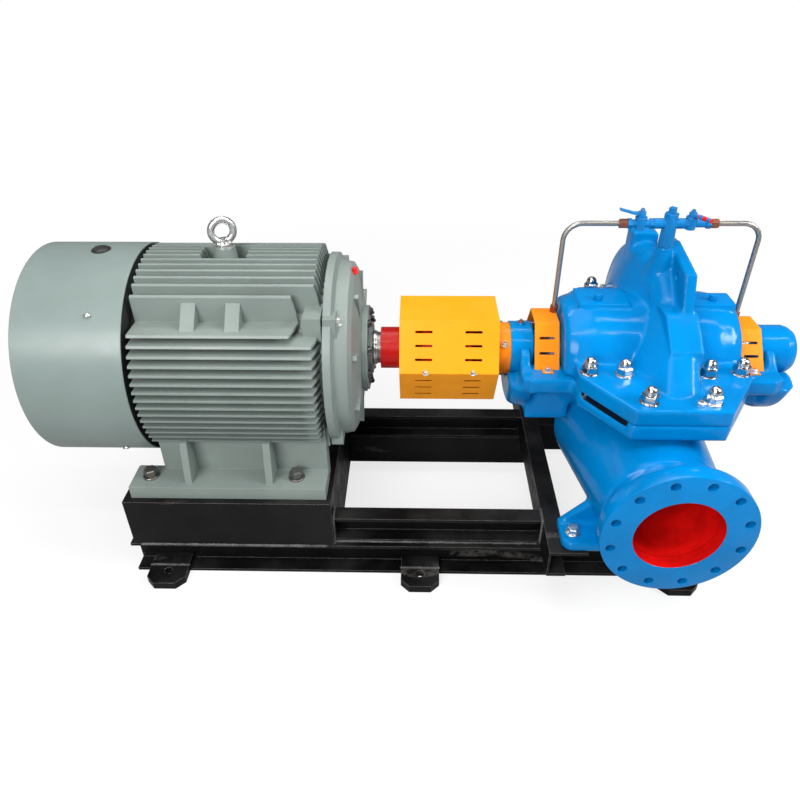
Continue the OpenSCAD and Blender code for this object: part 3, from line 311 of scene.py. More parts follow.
def weld_metal(name, colour):
    """Painted weld metal with a rippled surface."""
    f = Finish(name)
    ripple = f.noise(210.0, 4.0, 0.6)
    scale = f.noise(26.0, 4.0, 0.6)
    hue = f.blend(f.band(scale, 0.35, 0.65), rgba(colour, 0.8), rgba(colour, 1.9))
    f.wear(
        Base_Color=hue,
        Roughness=f.band(ripple, 0.3, 0.7) * 0.25 + 0.28,
        Normal=f.bump(ripple, 0.4, 0.002),
        Specular_IOR_Level=0.5,
    )
    return f


def moulded_plastic(name, colour):
    """Moulded black plastic or rubber with a fine grain."""
    f = Finish(name)
    grain = f.noise(900.0, 2.0, 0.5)
    haze = f.noise(30.0, 4.0, 0.6)
    hue = f.blend(f.band(haze, 0.3, 0.7), rgba(colour, 0.8), rgba(colour, 1.5))
    f.wear(
        Base_Color=hue,
        Roughness=f.band(haze, 0.2, 0.8) * 0.2 + 0.38,
        Normal=f.bump(grain, 0.15, 0.0004, f.rounded(0.001)),
    )
    return f


# Edge colours and gains in these rows set the lighter edges: a painted highlight, partly thin paint.
PAINTS = (
    ("frame_black", "frame_black", 1.0, dict(
        rough=0.24, rough_span=0.3, low=0.6, high=1.8, dust=0.05, thin=0.5, gloss=0.14, scuffs=0.22,
        edge_colour=(0.1, 0.098, 0.095), chip_colour=(0.26, 0.24, 0.22), chips=0.7, chip_from=0.36,
        coat=0.03, runs=18.0, runs_depth=0.16, edge=0.003)),
    ("motor_grey", "motor_grey", 1.0, dict(
        rough=0.36, rough_span=0.14, low=0.92, high=1.06, dust=0.08, thin=0.3, gloss=0.4, lift=1.35,
        chips=0.25, coat=0.08, coat_rough=0.25, peel=330.0, peel_depth=0.16, edge=0.0025, runs_depth=0.08)),
    # Painted shade: a darkened copy of the motor grey for the rear end shield, which shows only in the shaded groove.
    ("shaded_grey", "motor_grey", 0.12, dict(rough=0.6, dust=0.1, chips=0.2, gloss=0.15, edge=0.002)),
    ("cowl_grey", "cowl_grey", 1.0, dict(
        rough=0.3, rough_span=0.12, low=0.95, high=1.05, dust=0.05, gloss=0.4, lift=1.3, chips=0.2,
        coat_rough=0.2, peel=240.0, peel_depth=0.06, runs=5.0, runs_depth=0.03, edge=0.003)),
    ("pump_blue", "pump_blue", 1.0, dict(
        rough=0.09, rough_span=0.1, low=0.88, high=1.08, dust=0.0, thin=0.2, gloss=0.17, lift=1.3, lift_more=0.01,
        chips=0.12, chip_from=0.46, coat=0.0, runs=26.0, runs_depth=0.3, peel=120.0, peel_depth=0.06)),
    ("fitting_blue", "pump_blue", 1.0, dict(
        rough=0.24, rough_span=0.2, low=0.75, chips=0.8, chip_from=0.26, thin=0.3, edge_colour=(0.12, 0.2, 0.32),
        chip_colour=(0.24, 0.16, 0.12), edge=0.0015, dust=0.02, chip_scale=120.0, runs=90.0, runs_depth=0.2)),
    ("lever_blue", "pump_blue", 1.0, dict(
        rough_span=0.2, low=0.75, chip_from=0.28, dust=0.02, edge=0.0012, chip_scale=150.0)),
    ("hub_red", "port_red", 0.8, dict(
        rough=0.22, low=0.75, high=1.15, chips=0.5, chip_from=0.36, dust=0.02, gloss=0.2,
        chip_colour=(0.12, 0.1, 0.1), runs=60.0, runs_depth=0.2, edge=0.0025)),
    ("guard_yellow", "guard_yellow", 1.0, dict(
        rough_span=0.12, low=0.93, high=1.05, dust=0.03, thin=0.3, gloss=0.2, edge_colour=(0.98, 0.55, 0.06),
        chips=0.35, chip_from=0.4, peel=300.0, edge=0.002)),
    ("guard_orange", "guard_orange", 1.0, dict(
        rough_span=0.14, low=0.88, high=1.06, dust=0.03, thin=0.3, gloss=0.2, edge_colour=(0.98, 0.45, 0.05),
        chips=0.45, chip_from=0.36, peel=300.0, edge=0.002)),
)
METALS = (
    ("bright_steel", "steel", 1.0, dict(rough=0.2, stain=0.3)),
    ("turned_steel", "steel", 0.42, dict(rough=0.26, stain=0.5, stain_from=0.42)),
    ("zinc", "zinc", 1.0, dict(
        rough=0.24, lines=220.0, stretch=EVEN, stain=0.25, stain_colour=(0.4, 0.38, 0.34), depth=0.06)),
    ("chrome", "zinc", 0.72, dict(
        rough=0.06, lines=300.0, stretch=EVEN, stain=0.12, stain_colour=(0.3, 0.3, 0.32), depth=0.04)),
    ("dark_bolt", "dark_bolt", 1.0, dict(
        rough=0.34, lines=200.0, stretch=EVEN, stain=0.3, stain_colour=(0.05, 0.05, 0.05), metal=0.8)),
    ("stainless", "stainless", 1.0, dict(
        rough=0.34, lines=260.0, stretch=EVEN, stain=0.3, stain_scale=25.0, depth=0.08)),
    ("gland", "gland", 1.0, dict(
        rough=0.38, lines=180.0, stretch=EVEN, stain=0.3, stain_colour=(0.2, 0.16, 0.2), depth=0.06, metal=0.3)),
    ("copper_nut", "copper", 1.0, dict(
        rough=0.36, lines=240.0, stretch=EVEN, stain=0.6, stain_colour=(0.16, 0.07, 0.05), depth=0.1)),
)


def make_finishes(settings):
    """All finishes by name, made once from the colours in the panel."""
    made = {}
    for maker, rows in ((gloss_paint, PAINTS), (bare_metal, METALS)):
        for name, source, factor, look in rows:
            made[name] = maker(name, tuple(c * factor for c in getattr(settings, source)), look)
    ports_painted_and_slot_shaded(made["pump_blue"], settings.port_red)
    stripe_painted(made["lever_blue"], settings.port_red)
    made["weld"] = weld_metal("weld", tuple(c * 6.0 + 0.03 for c in settings.frame_black))
    made["black_plastic"] = moulded_plastic("black_plastic", (0.02, 0.02, 0.021))
    made["fan_black"] = moulded_plastic("fan_black", (0.03, 0.03, 0.032))
    made["red_plastic"] = moulded_plastic("red_plastic", settings.port_red)
    return {name: f.material for name, f in made.items()}


FINISHES = {}


def finish(name):
    if not FINISHES:
        FINISHES.update(make_finishes(bpy.context.scene.pump_finishes))
    return FINISHES[name]


def dress(nodes, name):
    """Puts one finish on every material slot of the named nodes."""
    for node in nodes:
        for place in frame["nodes"][node].material_slots:
            place.material = finish(name)


# Fasteners and welds

FASTENER_SIZES = ("Width", "Height", "Washer Radius", "Washer Thickness", "Stud Radius", "Stud Length")


def node_group(name, lengths):
    """The graph of a new geometry node group with named lengths and a finish, and its inputs by name."""
    tree = bpy.data.node_groups.new(name, "GeometryNodeTree")
    sockets = [("Geometry", "INPUT", "Geometry")] + [(label, "INPUT", "Float") for label in lengths]
    for label, way, kind in sockets + [("Finish", "INPUT", "Material"), ("Geometry", "OUTPUT", "Geometry")]:
        tree.interface.new_socket(label, in_out=way, socket_type="NodeSocket" + kind)
    g = Graph(tree)
    return g, {item.name: Tone(g, item) for item in tree.nodes.new("NodeGroupInput").outputs}


def instanced(g, given, points, shape, turn, scale, smooth=False):
    """Ends a node group: a shape on each point, made real, with its finish."""
    sockets = {"Points": points, "Instance": shape, "Rotation": turn, "Scale": scale}
    placed = g.add("GeometryNodeInstanceOnPoints", None, sockets)
    real = g.add("GeometryNodeRealizeInstances", None, {"Geometry": placed})
    if smooth:
        real = g.add("GeometryNodeSetShadeSmooth", None, {"Geometry": real})
    done = g.add("GeometryNodeSetMaterial", None, {"Geometry": real, "Material": given["Finish"]})
    g.tree.links.new(done.socket, g.tree.nodes.new("NodeGroupOutput").inputs[0])
    return g.tree


def fastener_tree(name, parts):
    """Instances a fastener, built from named sizes, on points that carry an axis, a turn and a scale."""
    g, given = node_group(name, FASTENER_SIZES)
    width, height, washer, seat, stud, tall = (given[label] for label in FASTENER_SIZES)
    corner = width * 0.5774
    shapes = []

    def put(shape, up):
        offset = g.add("ShaderNodeCombineXYZ", None, {2: up})
        shapes.append(g.add("GeometryNodeTransform", None, {"Geometry": shape, "Translation": offset}))

    def drum(sides, radius, deep):
        sockets = {"Vertices": sides, "Radius": radius, "Depth": deep}
        return g.add("GeometryNodeMeshCylinder", {"fill_type": "NGON"}, sockets)

    def taper(sides, top, bottom, deep):
        sockets = {"Vertices": sides, "Radius Top": top, "Radius Bottom": bottom, "Depth": deep}
        return g.add("GeometryNodeMeshCone", {"fill_type": "NGON"}, sockets)

    def ball(radius, flat):
        sphere = g.add("GeometryNodeMeshUVSphere", None, {"Segments": 20, "Rings": 12, "Radius": radius})
        shrunk = g.add("GeometryNodeTransform", None, {"Geometry": sphere, "Scale": (1.0, 1.0, flat)})
        return g.add("GeometryNodeSetShadeSmooth", None, {"Geometry": shrunk})

    if "washer" in parts:
        put(drum(28, washer, seat * 0.7), seat * 0.35)
        put(taper(28, washer * 0.95, washer, seat * 0.3), seat * 0.7)
    if "hexagon" in parts:
        put(taper(6, corner, corner * 0.94, height * 0.12), seat)
        put(drum(6, corner, height * 0.72), seat + height * 0.48)
        put(taper(6, corner * 0.84, corner, height * 0.16), seat + height * 0.84)
    if "dome" in parts:
        put(drum(20, width * 0.41, height * 0.4), seat + height * 1.05)
        put(ball(width * 0.41, 0.95), seat + height * 1.22)
    if "stud" in parts:
        put(drum(16, stud, tall), seat + height + tall * 0.45)
        for step in (0.2, 0.45, 0.7):
            put(drum(16, stud * 1.1, tall * 0.1), seat + height + tall * step)
    if "pan" in parts:
        put(ball(width * 0.5, 0.55), seat)
        put(drum(6, width * 0.22, height * 0.4), seat + height * 0.55)
    shape = g.add("GeometryNodeJoinGeometry", None, {0: list(reversed(shapes))})

    def carried(label, data_type="FLOAT"):
        return g.add("GeometryNodeInputNamedAttribute", {"data_type": data_type}, {"Name": label})

    aim = g.add("FunctionNodeAlignRotationToVector", {"axis": "Z"}, {"Vector": carried("axis", "FLOAT_VECTOR")})
    spin = g.add("FunctionNodeAxisAngleToRotation", None, {"Axis": (0.0, 0.0, 1.0), "Angle": carried("turn")})
    turn = g.add("FunctionNodeRotateRotation", {"rotation_space": "LOCAL"}, {0: aim, 1: spin})
    return instanced(g, given, given["Geometry"], shape, turn, carried("grow"))


def bead_tree(name):
    """Lays overlapping weld ripples along the edges of a path."""
    g, given = node_group(name, ("Bead Radius", "Ripple Pitch"))
    path = g.add("GeometryNodeMeshToCurve", None, {0: given["Geometry"]})
    points = g.add("GeometryNodeCurveToPoints", {"mode": "LENGTH"}, {"Curve": path, "Length": given["Ripple Pitch"]})
    drop = g.add("GeometryNodeMeshIcoSphere", None, {"Radius": given["Bead Radius"], "Subdivisions": 2})

    def spread(low, high, seed):
        return g.add("FunctionNodeRandomValue", {"data_type": "FLOAT_VECTOR"}, {0: low, 1: high, "Seed": seed})

    vary = spread((0.8, 0.75, 0.75), (1.25, 1.2, 1.2), 11)
    turn = g.add("FunctionNodeEulerToRotation", None, {0: spread((-0.3, -0.3, -0.3), (0.3, 0.3, 0.3), 5)})
    return instanced(g, given, points, drop, turn, vary, smooth=True)


def linked(name, data):
    """An object of the scene with the data that it is given."""
    made = bpy.data.objects.new(name, data)
    bpy.context.scene.collection.objects.link(made)
    return made


def mesh_from(name, bm):
    """A mesh from a bmesh, which is freed."""
    mesh = bpy.data.meshes.new(name)
    bm.to_mesh(mesh)
    bm.free()
    return mesh


def baked(piece):
    """Gives a piece the mesh that its modifiers make, and removes them."""
    bpy.context.view_layer.update()
    made = bpy.data.meshes.new_from_object(piece.evaluated_get(bpy.context.evaluated_depsgraph_get()))
    piece.modifiers.clear()
    piece.data = made
    made.name = piece.name
    return piece


def grown(name, mesh, tree, values):
    """A plain mesh object grown from a start mesh by a node tree."""
    start = linked(name, mesh)
    grow = start.modifiers.new("grow", "NODES")
    grow.node_group = tree
    for item in tree.interface.items_tree:
        if item.in_out == "INPUT" and item.name in values:
            grow[item.identifier] = values[item.name]
    return baked(start)


def settle(piece, body):
    """Hands a finished piece to the body that carries it."""
    if not piece.data.polygons:
        raise RuntimeError(piece.name + " has no faces")
    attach(piece, body)
    return piece


def fasteners(name, parts, places, sizes, coat, body="plant"):
    """Fasteners of one kind at places given as (point, axis, turn, scale), with sizes in FASTENER_SIZES order.

    The axis isn't applied: every fastener stands upright.
    """
    mesh = bpy.data.meshes.new(name)
    mesh.from_pydata([place[0] for place in places], [], [])
    for label, column in (("turn", 2), ("grow", 3)):
        for item, place in zip(mesh.attributes.new(label, "FLOAT", "POINT").data, places):
            item.value = place[column]
    values = dict(zip(FASTENER_SIZES, sizes))
    values["Finish"] = finish(coat)
    piece = grown(name, mesh, fastener_tree(name, parts), values)
    return settle(piece, body)


# Shapes


def angles(count, shift=0.0):
    return [math.tau * (k + shift) / count for k in range(count)]


def skin(bm, rings, ends=False):
    """Adds a shell over rings of points, with end faces if asked; a ring of one point is a tip."""
    made = [[bm.verts.new(point) for point in ring] for ring in rings]
    faces = [bm.faces.new(made[0]), bm.faces.new(made[-1])] if ends else []
    for low, high in zip(made, made[1:]):
        sides = max(len(low), len(high))
        for k in range(sides):
            n = (k + 1) % sides
            if len(low) == 1:
                corners = (low[0], high[n], high[k])
            elif len(high) == 1:
                corners = (low[k], low[n], high[0])
            else:
                corners = (low[k], low[n], high[n], high[k])
            faces.append(bm.faces.new(corners))
    return faces


def turned(bm, profile, origin, axis, sides):
    """Adds a turned shell from (radius, height) pairs along an axis."""
    turn = Vector((0, 0, 1)).rotation_difference(Vector(axis)).to_matrix()
    rings = []
    for radius, up in profile:
        ring = [Vector((radius * math.cos(a), radius * math.sin(a), up)) for a in angles(sides if radius else 1)]
        rings.append([turn @ point + Vector(origin) for point in ring])
    skin(bm, rings)
    bmesh.ops.remove_doubles(bm, verts=bm.verts, dist=1e-6)
    bmesh.ops.recalc_face_normals(bm, faces=bm.faces)


def lathe(name, profile, origin, axis, coat, body="plant", sides=40):
    """A turned piece from (radius, height) pairs along an axis."""
    bm = bmesh.new()
    turned(bm, profile, origin, axis, sides)
    mesh = mesh_from(name, bm)
    mesh.materials.append(finish(coat))
    mesh.shade_smooth()
    mesh.set_sharp_from_angle(angle=SHARP)
    return settle(linked(name, mesh), body)


FILLET_SHARE, EASE_SHARE, JOINT_BAND = 0.42, 0.12, 0.003


def fill_corners(mesh, rounds):
    """Fills hollow corners with a fillet, eases outer edges a little and keeps the joint face flat."""
    count = len(mesh.vertices)
    flat = np.empty(count * 3)
    ends = np.empty(len(mesh.edges) * 2, dtype=np.int64)
    mesh.edges.foreach_get("vertices", ends)
    first, second = ends.reshape(-1, 2).T
    degree = np.bincount(first, minlength=count) + np.bincount(second, minlength=count)
    for _ in range(rounds):
        mesh.vertices.foreach_get("co", flat)
        place = flat.reshape(-1, 3).copy()
        mesh.vertex_normals.foreach_get("vector", flat)
        normal = flat.reshape(-1, 3)
        around = np.stack(
            [
                np.bincount(first, place[second, axis], count) + np.bincount(second, place[first, axis], count)
                for axis in range(3)
            ],
            axis=1,
        )
        step = around / degree[:, None] - place
        hollow = (step * normal).sum(axis=1) > 0.0
        share = np.where(hollow, FILLET_SHARE, EASE_SHARE)
        share[np.abs(place[:, 2] - SHAFT_Z) < JOINT_BAND] = 0.0
        mesh.vertices.foreach_set("co", (place + step * share[:, None]).ravel())
        mesh.update()


def carved(name, bm, voxel, cuts):
    """An object from closed shells, merged on a voxel grid if one is given and bored by round cutters."""
    piece = linked(name, mesh_from(name, bm))
    if voxel:
        remesh = piece.modifiers.new("remesh", "REMESH")
        remesh.mode = "VOXEL"
        remesh.voxel_size = voxel
        remesh.use_smooth_shade = True
    cutters = []
    for radius, low, high in cuts:
        shape = bmesh.new()
        swept_rod(shape, Vector(low), Vector(high), radius)
        cutters.append(linked(name + "_cutter", mesh_from(name + "_cutter", shape)))
        cut = piece.modifiers.new("cut", "BOOLEAN")
        cut.operation = "DIFFERENCE"
        cut.object = cutters[-1]
    baked(piece)
    for cutter in cutters:
        bpy.data.objects.remove(cutter)
    piece.data.shade_smooth()
    piece.data.materials.clear()
    return piece


def cast_in_place(piece, node):
    """Paints a casting and hands it over in place of a node."""
    piece.data.materials.append(finish("pump_blue"))
    settle(piece, "plant")
    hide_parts(node)


def poured(name, bm, voxel, rounds, node, cuts):
    """One casting from overlapping closed shells, bored by cutters, with filled corners; it stands for a node."""
    piece = carved(name, bm, voxel, cuts)
    fill_corners(piece.data, rounds)
    cast_in_place(piece, node)


HOLE_RADIUS, HOLE_OVERRUN, FLANGE_SIDES = 0.011, 0.01, 112


def port_flange(name, face_y, port, node):
    """A machined port flange with bolt holes and a filleted hub, around the end of a cast neck."""
    out = Vector((0.0, math.copysign(1.0, face_y), 0.0))
    centre = Vector((PUMP_X, face_y, PORT_Z))
    outer, neck, bore, thick = port["outer"], port["neck"], port["bore"] - 0.0006, port["thick"]
    bm = bmesh.new()
    turned(
        bm,
        [(bore, 0.0), (outer - 0.0016, 0.0), (outer - 0.0004, -0.0005), (outer, -0.0018), (outer, 0.0018 - thick),
         (outer - 0.0004, 0.0005 - thick), (outer - 0.0016, -thick), (neck + 0.011, -thick),
         (neck + 0.006, -thick - 0.0012), (neck + 0.0026, -thick - 0.004), (neck + 0.0012, -thick - 0.009),
         (neck - 0.008, -thick - 0.012), (neck - 0.008, 0.004 - thick), (bore, 0.003 - thick), (bore, 0.0)],
        centre, out, FLANGE_SIDES,
    )
    cuts = []
    for a in angles(port["holes"], 0.5):
        spot = centre + Vector((math.cos(a), 0.0, math.sin(a))) * port["circle"]
        cuts.append((HOLE_RADIUS, spot + out * HOLE_OVERRUN, spot - out * (thick + HOLE_OVERRUN)))
    piece = carved(name, bm, 0.0, cuts)
    piece.data.set_sharp_from_angle(angle=SHARP)
    cast_in_place(piece, node)


def sunk_flange(bm, face_y, port):
    """Draws a cast flange in a little, so that the machined flange covers it, and gives the cutter for its front."""
    side = math.copysign(1.0, face_y)
    for v in bm.verts:
        depth = (face_y - v.co.y) * side
        across = math.hypot(v.co.x - PUMP_X, v.co.z - PORT_Z)
        if depth > port["thick"] + 0.0002 or across < port["neck"] + 0.004:
            continue
        v.co.y = face_y - side * min(depth, port["thick"] - 0.005)
        if across > port["outer"] - 0.003:
            inward = (across - 0.005) / across
            v.co.x = PUMP_X + (v.co.x - PUMP_X) * inward
            v.co.z = PORT_Z + (v.co.z - PORT_Z) * inward
    front = Vector((PUMP_X, face_y + side * 0.02, PORT_Z))
    return port["outer"] + 0.02, front, Vector((PUMP_X, face_y - side * (port["thick"] - 0.012), PORT_Z))


def node_shell(node):
    """A merged copy of a node's mesh."""
    bm = bmesh.new()
    bm.from_mesh(frame["nodes"][node].data)
    bmesh.ops.remove_doubles(bm, verts=bm.verts, dist=2e-5)
    return bm


def swept_rod(bm, low, high, radius, sides=48):
    """Adds a closed rod between two points."""
    turn = Vector((0, 0, 1)).rotation_difference(high - low).to_matrix().to_4x4()
    place = Matrix.Translation((low + high) / 2) @ turn
    bmesh.ops.create_cone(
        bm, cap_ends=True, segments=sides, radius1=radius, radius2=radius, depth=(high - low).length, matrix=place
    )


def prism(bm, outline, low, high, along):
    """Adds a closed prism of an outline between two levels along an axis of the casing."""
    rings = [
        [CASING_ORIGIN + Vector((*spot[:along], level, *spot[along:])) for spot in outline] for level in (low, high)
    ]
    bmesh.ops.recalc_face_normals(bm, faces=skin(bm, rings, ends=True))


def half_turned(bm, profile, sides=72):
    """Adds the upper half of a ring about the shaft from a closed outline of (radius, place along the shaft)."""
    rings = []
    for k in range(sides + 1):
        a = math.pi * k / sides
        rings.append([CASING_ORIGIN + Vector((x, r * math.cos(a), r * math.sin(a))) for r, x in profile])
    bmesh.ops.recalc_face_normals(bm, faces=skin(bm, rings, ends=True))


def volute_shell(bm, sides=96):
    """Adds the volute: a disc whose rim drifts to the outer end towards the front, flat on the joint face."""
    reach, half = 0.219, 0.038
    profile = [(0.0, -half * 1.6), (reach * 0.5, -half * 1.6), (reach - half, -half * 0.98)]
    for k in range(1, 12):
        a = math.pi * (k / 12 - 0.5)
        profile.append((reach - half + half * math.cos(a), half * math.sin(a)))
    profile += [(reach - half, half * 0.98), (reach * 0.5, half * 1.6), (0.0, half * 1.6)]
    rings = []
    for r, x in profile:
        ring = []
        for a in angles(sides if r else 1):
            ahead = max(0.0, -math.cos(a)) * max(0.0, math.sin(a) + 0.4)
            drift = 0.026 * min(1.0, ahead * 1.3) * (r / reach) ** 2
            place = Vector((x + drift, 0.095 + r * math.cos(a), max(0.0, 0.022 + r * math.sin(a))))
            ring.append(CASING_ORIGIN + place)
        rings.append(ring)
    bmesh.ops.recalc_face_normals(bm, faces=skin(bm, rings))


def rounded_hull(bm, points, radius):
    """Adds a convex body over points, rounded by a radius."""
    ball = bmesh.new()
    bmesh.ops.create_icosphere(ball, subdivisions=2, radius=radius)
    around = [v.co.copy() for v in ball.verts]
    ball.free()
    made = []
    for point in points:
        for step in around:
            place = Vector(point) + step
            place.z = max(0.0, place.z)
            made.append(bm.verts.new(CASING_ORIGIN + place))
    hull = bmesh.ops.convex_hull(bm, input=made)
    spare = [item for item in hull["geom_interior"] + hull["geom_unused"] if isinstance(item, bmesh.types.BMVert)]
    bmesh.ops.delete(bm, geom=list(set(spare)), context="VERTS")


BOW = (
    (-0.058, -0.163, 0.024), (-0.049, -0.208, 0.024), (-0.036, -0.255, 0.024), (-0.02, -0.281, 0.024),
    (0.002, -0.291, 0.024), (0.028, -0.285, 0.024), (0.044, -0.272, 0.024), (0.056, -0.242, 0.024),
    (0.066, -0.205, 0.024), (0.072, -0.163, 0.024), (-0.063, -0.05, 0.024), (0.075, -0.05, 0.024),
    (0.013, -0.128, 0.138), (0.05, -0.128, 0.138), (0.013, -0.188, 0.084), (0.05, -0.185, 0.084),
    (0.012, -0.248, 0.046), (0.042, -0.248, 0.046), (-0.048, -0.003, 0.112), (-0.051, -0.079, 0.07),
    (0.066, -0.003, 0.112),
)


def upper_shells():
    """Closed shells of the upper casing: chambers, volute, nose, joint flange, lugs, pads and tube boss."""
    bm = bmesh.new()
    drive, outer, bore, reach, lug = 0.219, 0.197, 0.047, 0.219, 0.028
    half_turned(
        bm,
        [(bore, -drive), (0.126, -drive), (0.133, -drive * 0.96), (0.139, -drive * 0.89), (0.146, -drive * 0.7),
         (0.146, outer * 0.68), (0.139, outer * 0.88), (0.133, outer * 0.96), (0.126, outer), (bore, outer)],
    )
    volute_shell(bm)
    rounded_hull(bm, BOW, 0.012)
    prism(
        bm,
        [(-0.103, -0.333), (0.103, -0.333), (outer, -0.194), (outer, 0.194), (0.1112, 0.284), (-0.1112, 0.284),
         (-outer, 0.194), (-outer, -0.194)],
        0.0, JOINT_THICK, 2,
    )
    front = [(-0.64, 0.27), (-0.55, 0.735), (-0.4, 1.11), (0.24, 1.22), (0.52, 1.18), (0.52, 0.27)]
    prism(bm, [(y * reach, z * reach) for y, z in front], lug * 1.1, lug * 2.1, 0)
    back = [(-0.04, 0.09), (-0.038, 0.26), (-0.03, 0.264), (0.02, 0.264), (0.028, 0.258), (0.034, 0.09)]
    prism(bm, back, 0.118, 0.168, 1)
    vent = [(-0.92, 0.1), (-0.92, 0.48), (-0.56, 0.735), (-0.27, 0.735), (-0.27, 0.1)]
    prism(bm, [(y * reach, z * reach) for y, z in vent], -lug * 0.25, lug * 2.5, 0)
    for middle, back_edge in ((-0.635, 0.75), (0.635, 0.35)):
        span = outer * 0.31
        near, far, pad_top = -span * 0.75, span * back_edge, 0.1485
        pad = [(near, JOINT_THICK), (far, JOINT_THICK), (far, pad_top), (near, pad_top)]
        prism(bm, pad, outer * middle - span, outer * middle + span, 0)
    boss = CASING_ORIGIN + Vector((0.01, 0.02, 0.0))
    bmesh.ops.create_cone(
        bm, cap_ends=True, segments=40, radius1=lug * 1.4, radius2=lug * 0.6, depth=0.0948,
        matrix=Matrix.Translation(boss + Vector((0, 0, 0.1752 + 0.0474))),
    )
    return bm


# Settings


def colour_property(label, text, default):
    return FloatVectorProperty(name=label, description=text, subtype="COLOR", size=3, min=0.0, max=1.0, default=default)


def length_property(label, text, default):
    return FloatProperty(name=label, description=text, unit="LENGTH", min=0.0, default=default)


def angle_property(label, text, degrees):
    return FloatProperty(name=label, description=text, subtype="ANGLE", default=math.radians(degrees))


def power_property(label, text, default):
    return FloatProperty(name=label, description=text, subtype="POWER", min=0.0, default=default)


class PumpFinishes(bpy.types.PropertyGroup):
    """Colours of the paints and metals."""

    frame_black: colour_property("Frame black", "Paint of the welded base", (0.0035, 0.0035, 0.0037))
    motor_grey: colour_property("Motor grey", "Paint of the motor castings", (0.2, 0.24, 0.222))
    cowl_grey: colour_property("Cowl grey", "Paint of the fan cowl", (0.19, 0.238, 0.225))
    pump_blue: colour_property("Pump blue", "Paint of the pump castings", (0.0, 0.19, 0.51))
    port_red: colour_property("Port red", "Paint inside the ports and on the coupling", (0.66, 0.006, 0.005))
    guard_yellow: colour_property("Guard yellow", "Paint of the coupling guard", (0.92, 0.32, 0.005))
    guard_orange: colour_property("Guard orange", "Paint of the seal guards and the ring", (0.9, 0.25, 0.005))
    steel: colour_property("Machined steel", "Shafts and glands", (0.62, 0.61, 0.59))
    zinc: colour_property("Bright plating", "Plated bolts and nuts", (0.82, 0.82, 0.81))
    stainless: colour_property("Stainless tube", "Flush tubes", (0.42, 0.4, 0.37))
    gland: colour_property("Gland", "Coating of the seal glands", (0.5, 0.44, 0.56))
    copper: colour_property("Copper nut", "Tube nuts", (0.42, 0.16, 0.1))
    dark_bolt: colour_property("Dark bolt", "Cap bolts and coupling pins", (0.12, 0.12, 0.125))


class PumpFasteners(bpy.types.PropertyGroup):
    """Sizes of the fasteners."""

    casing_nut: length_property("Casing nut", "Width across flats of the domed casing nuts", 0.034)
    foot_bolt: length_property("Foot bolt", "Width across flats of the motor foot bolts", 0.03)
    shield_bolt: length_property("Shield bolt", "Width across flats of the shield bolts", 0.024)
    guard_screw: length_property("Guard screw", "Width of the screw heads on the guards", 0.011)
    bead_radius: length_property("Weld bead", "Radius of the weld beads on the base", 0.0042)
    cast_rounds: IntProperty(
        name="Casting softness", description="Rounds of corner rounding on the castings", min=0, max=40, default=7
    )


class PumpStage(bpy.types.PropertyGroup):
    """Camera and light."""

    camera_place: FloatVectorProperty(
        name="Camera", description="Place of the camera", subtype="TRANSLATION", unit="LENGTH", size=3,
        default=(-0.014, -1.5253, 1.4149),
    )
    camera_pitch: angle_property("Pitch", "Camera tilt down", 34.653)
    camera_yaw: angle_property("Yaw", "Camera turn to the left", 1.622)
    camera_roll: angle_property("Roll", "Camera roll", -0.499)
    lens: FloatProperty(name="Lens", description="Focal length in millimetres", min=5.0, default=30.754)
    overhead: power_property("Overhead light", "Power of the large overhead light", 30.0)
    front: power_property("Front light", "Power of the front light", 144.0)
    tubes: power_property("Tube lights", "Power of the narrow lights that draw the gloss", 20.0)
    sky: FloatProperty(name="Room light", description="Strength of the even light of the room", min=0.0, default=0.27)


# Pieces

FRAME_NODES = [
    "front_rail", "back_rail", "left_cross_member", "middle_cross_member", "right_cross_member",
    "front_upper_channel", "back_inner_channel", "back_upper_channel", "pump_cross_beam",
    "end_cross_beam", "motor_pedestal", "foundation_lugs",
]
LUG_SPACING, LUG_HALF, LUG_TOP = 0.665, 0.049, 0.022
BOLT = ("washer", "hexagon")
UP = (0, 0, 1)
AHEAD = (1, 0, 0)


def off_shaft(x, radius, angle):
    """A point at a distance from the shaft, and the direction from the shaft to it."""
    out = Vector((0, math.cos(angle), math.sin(angle)))
    return Vector((x, 0, SHAFT_Z)) + out * radius, out


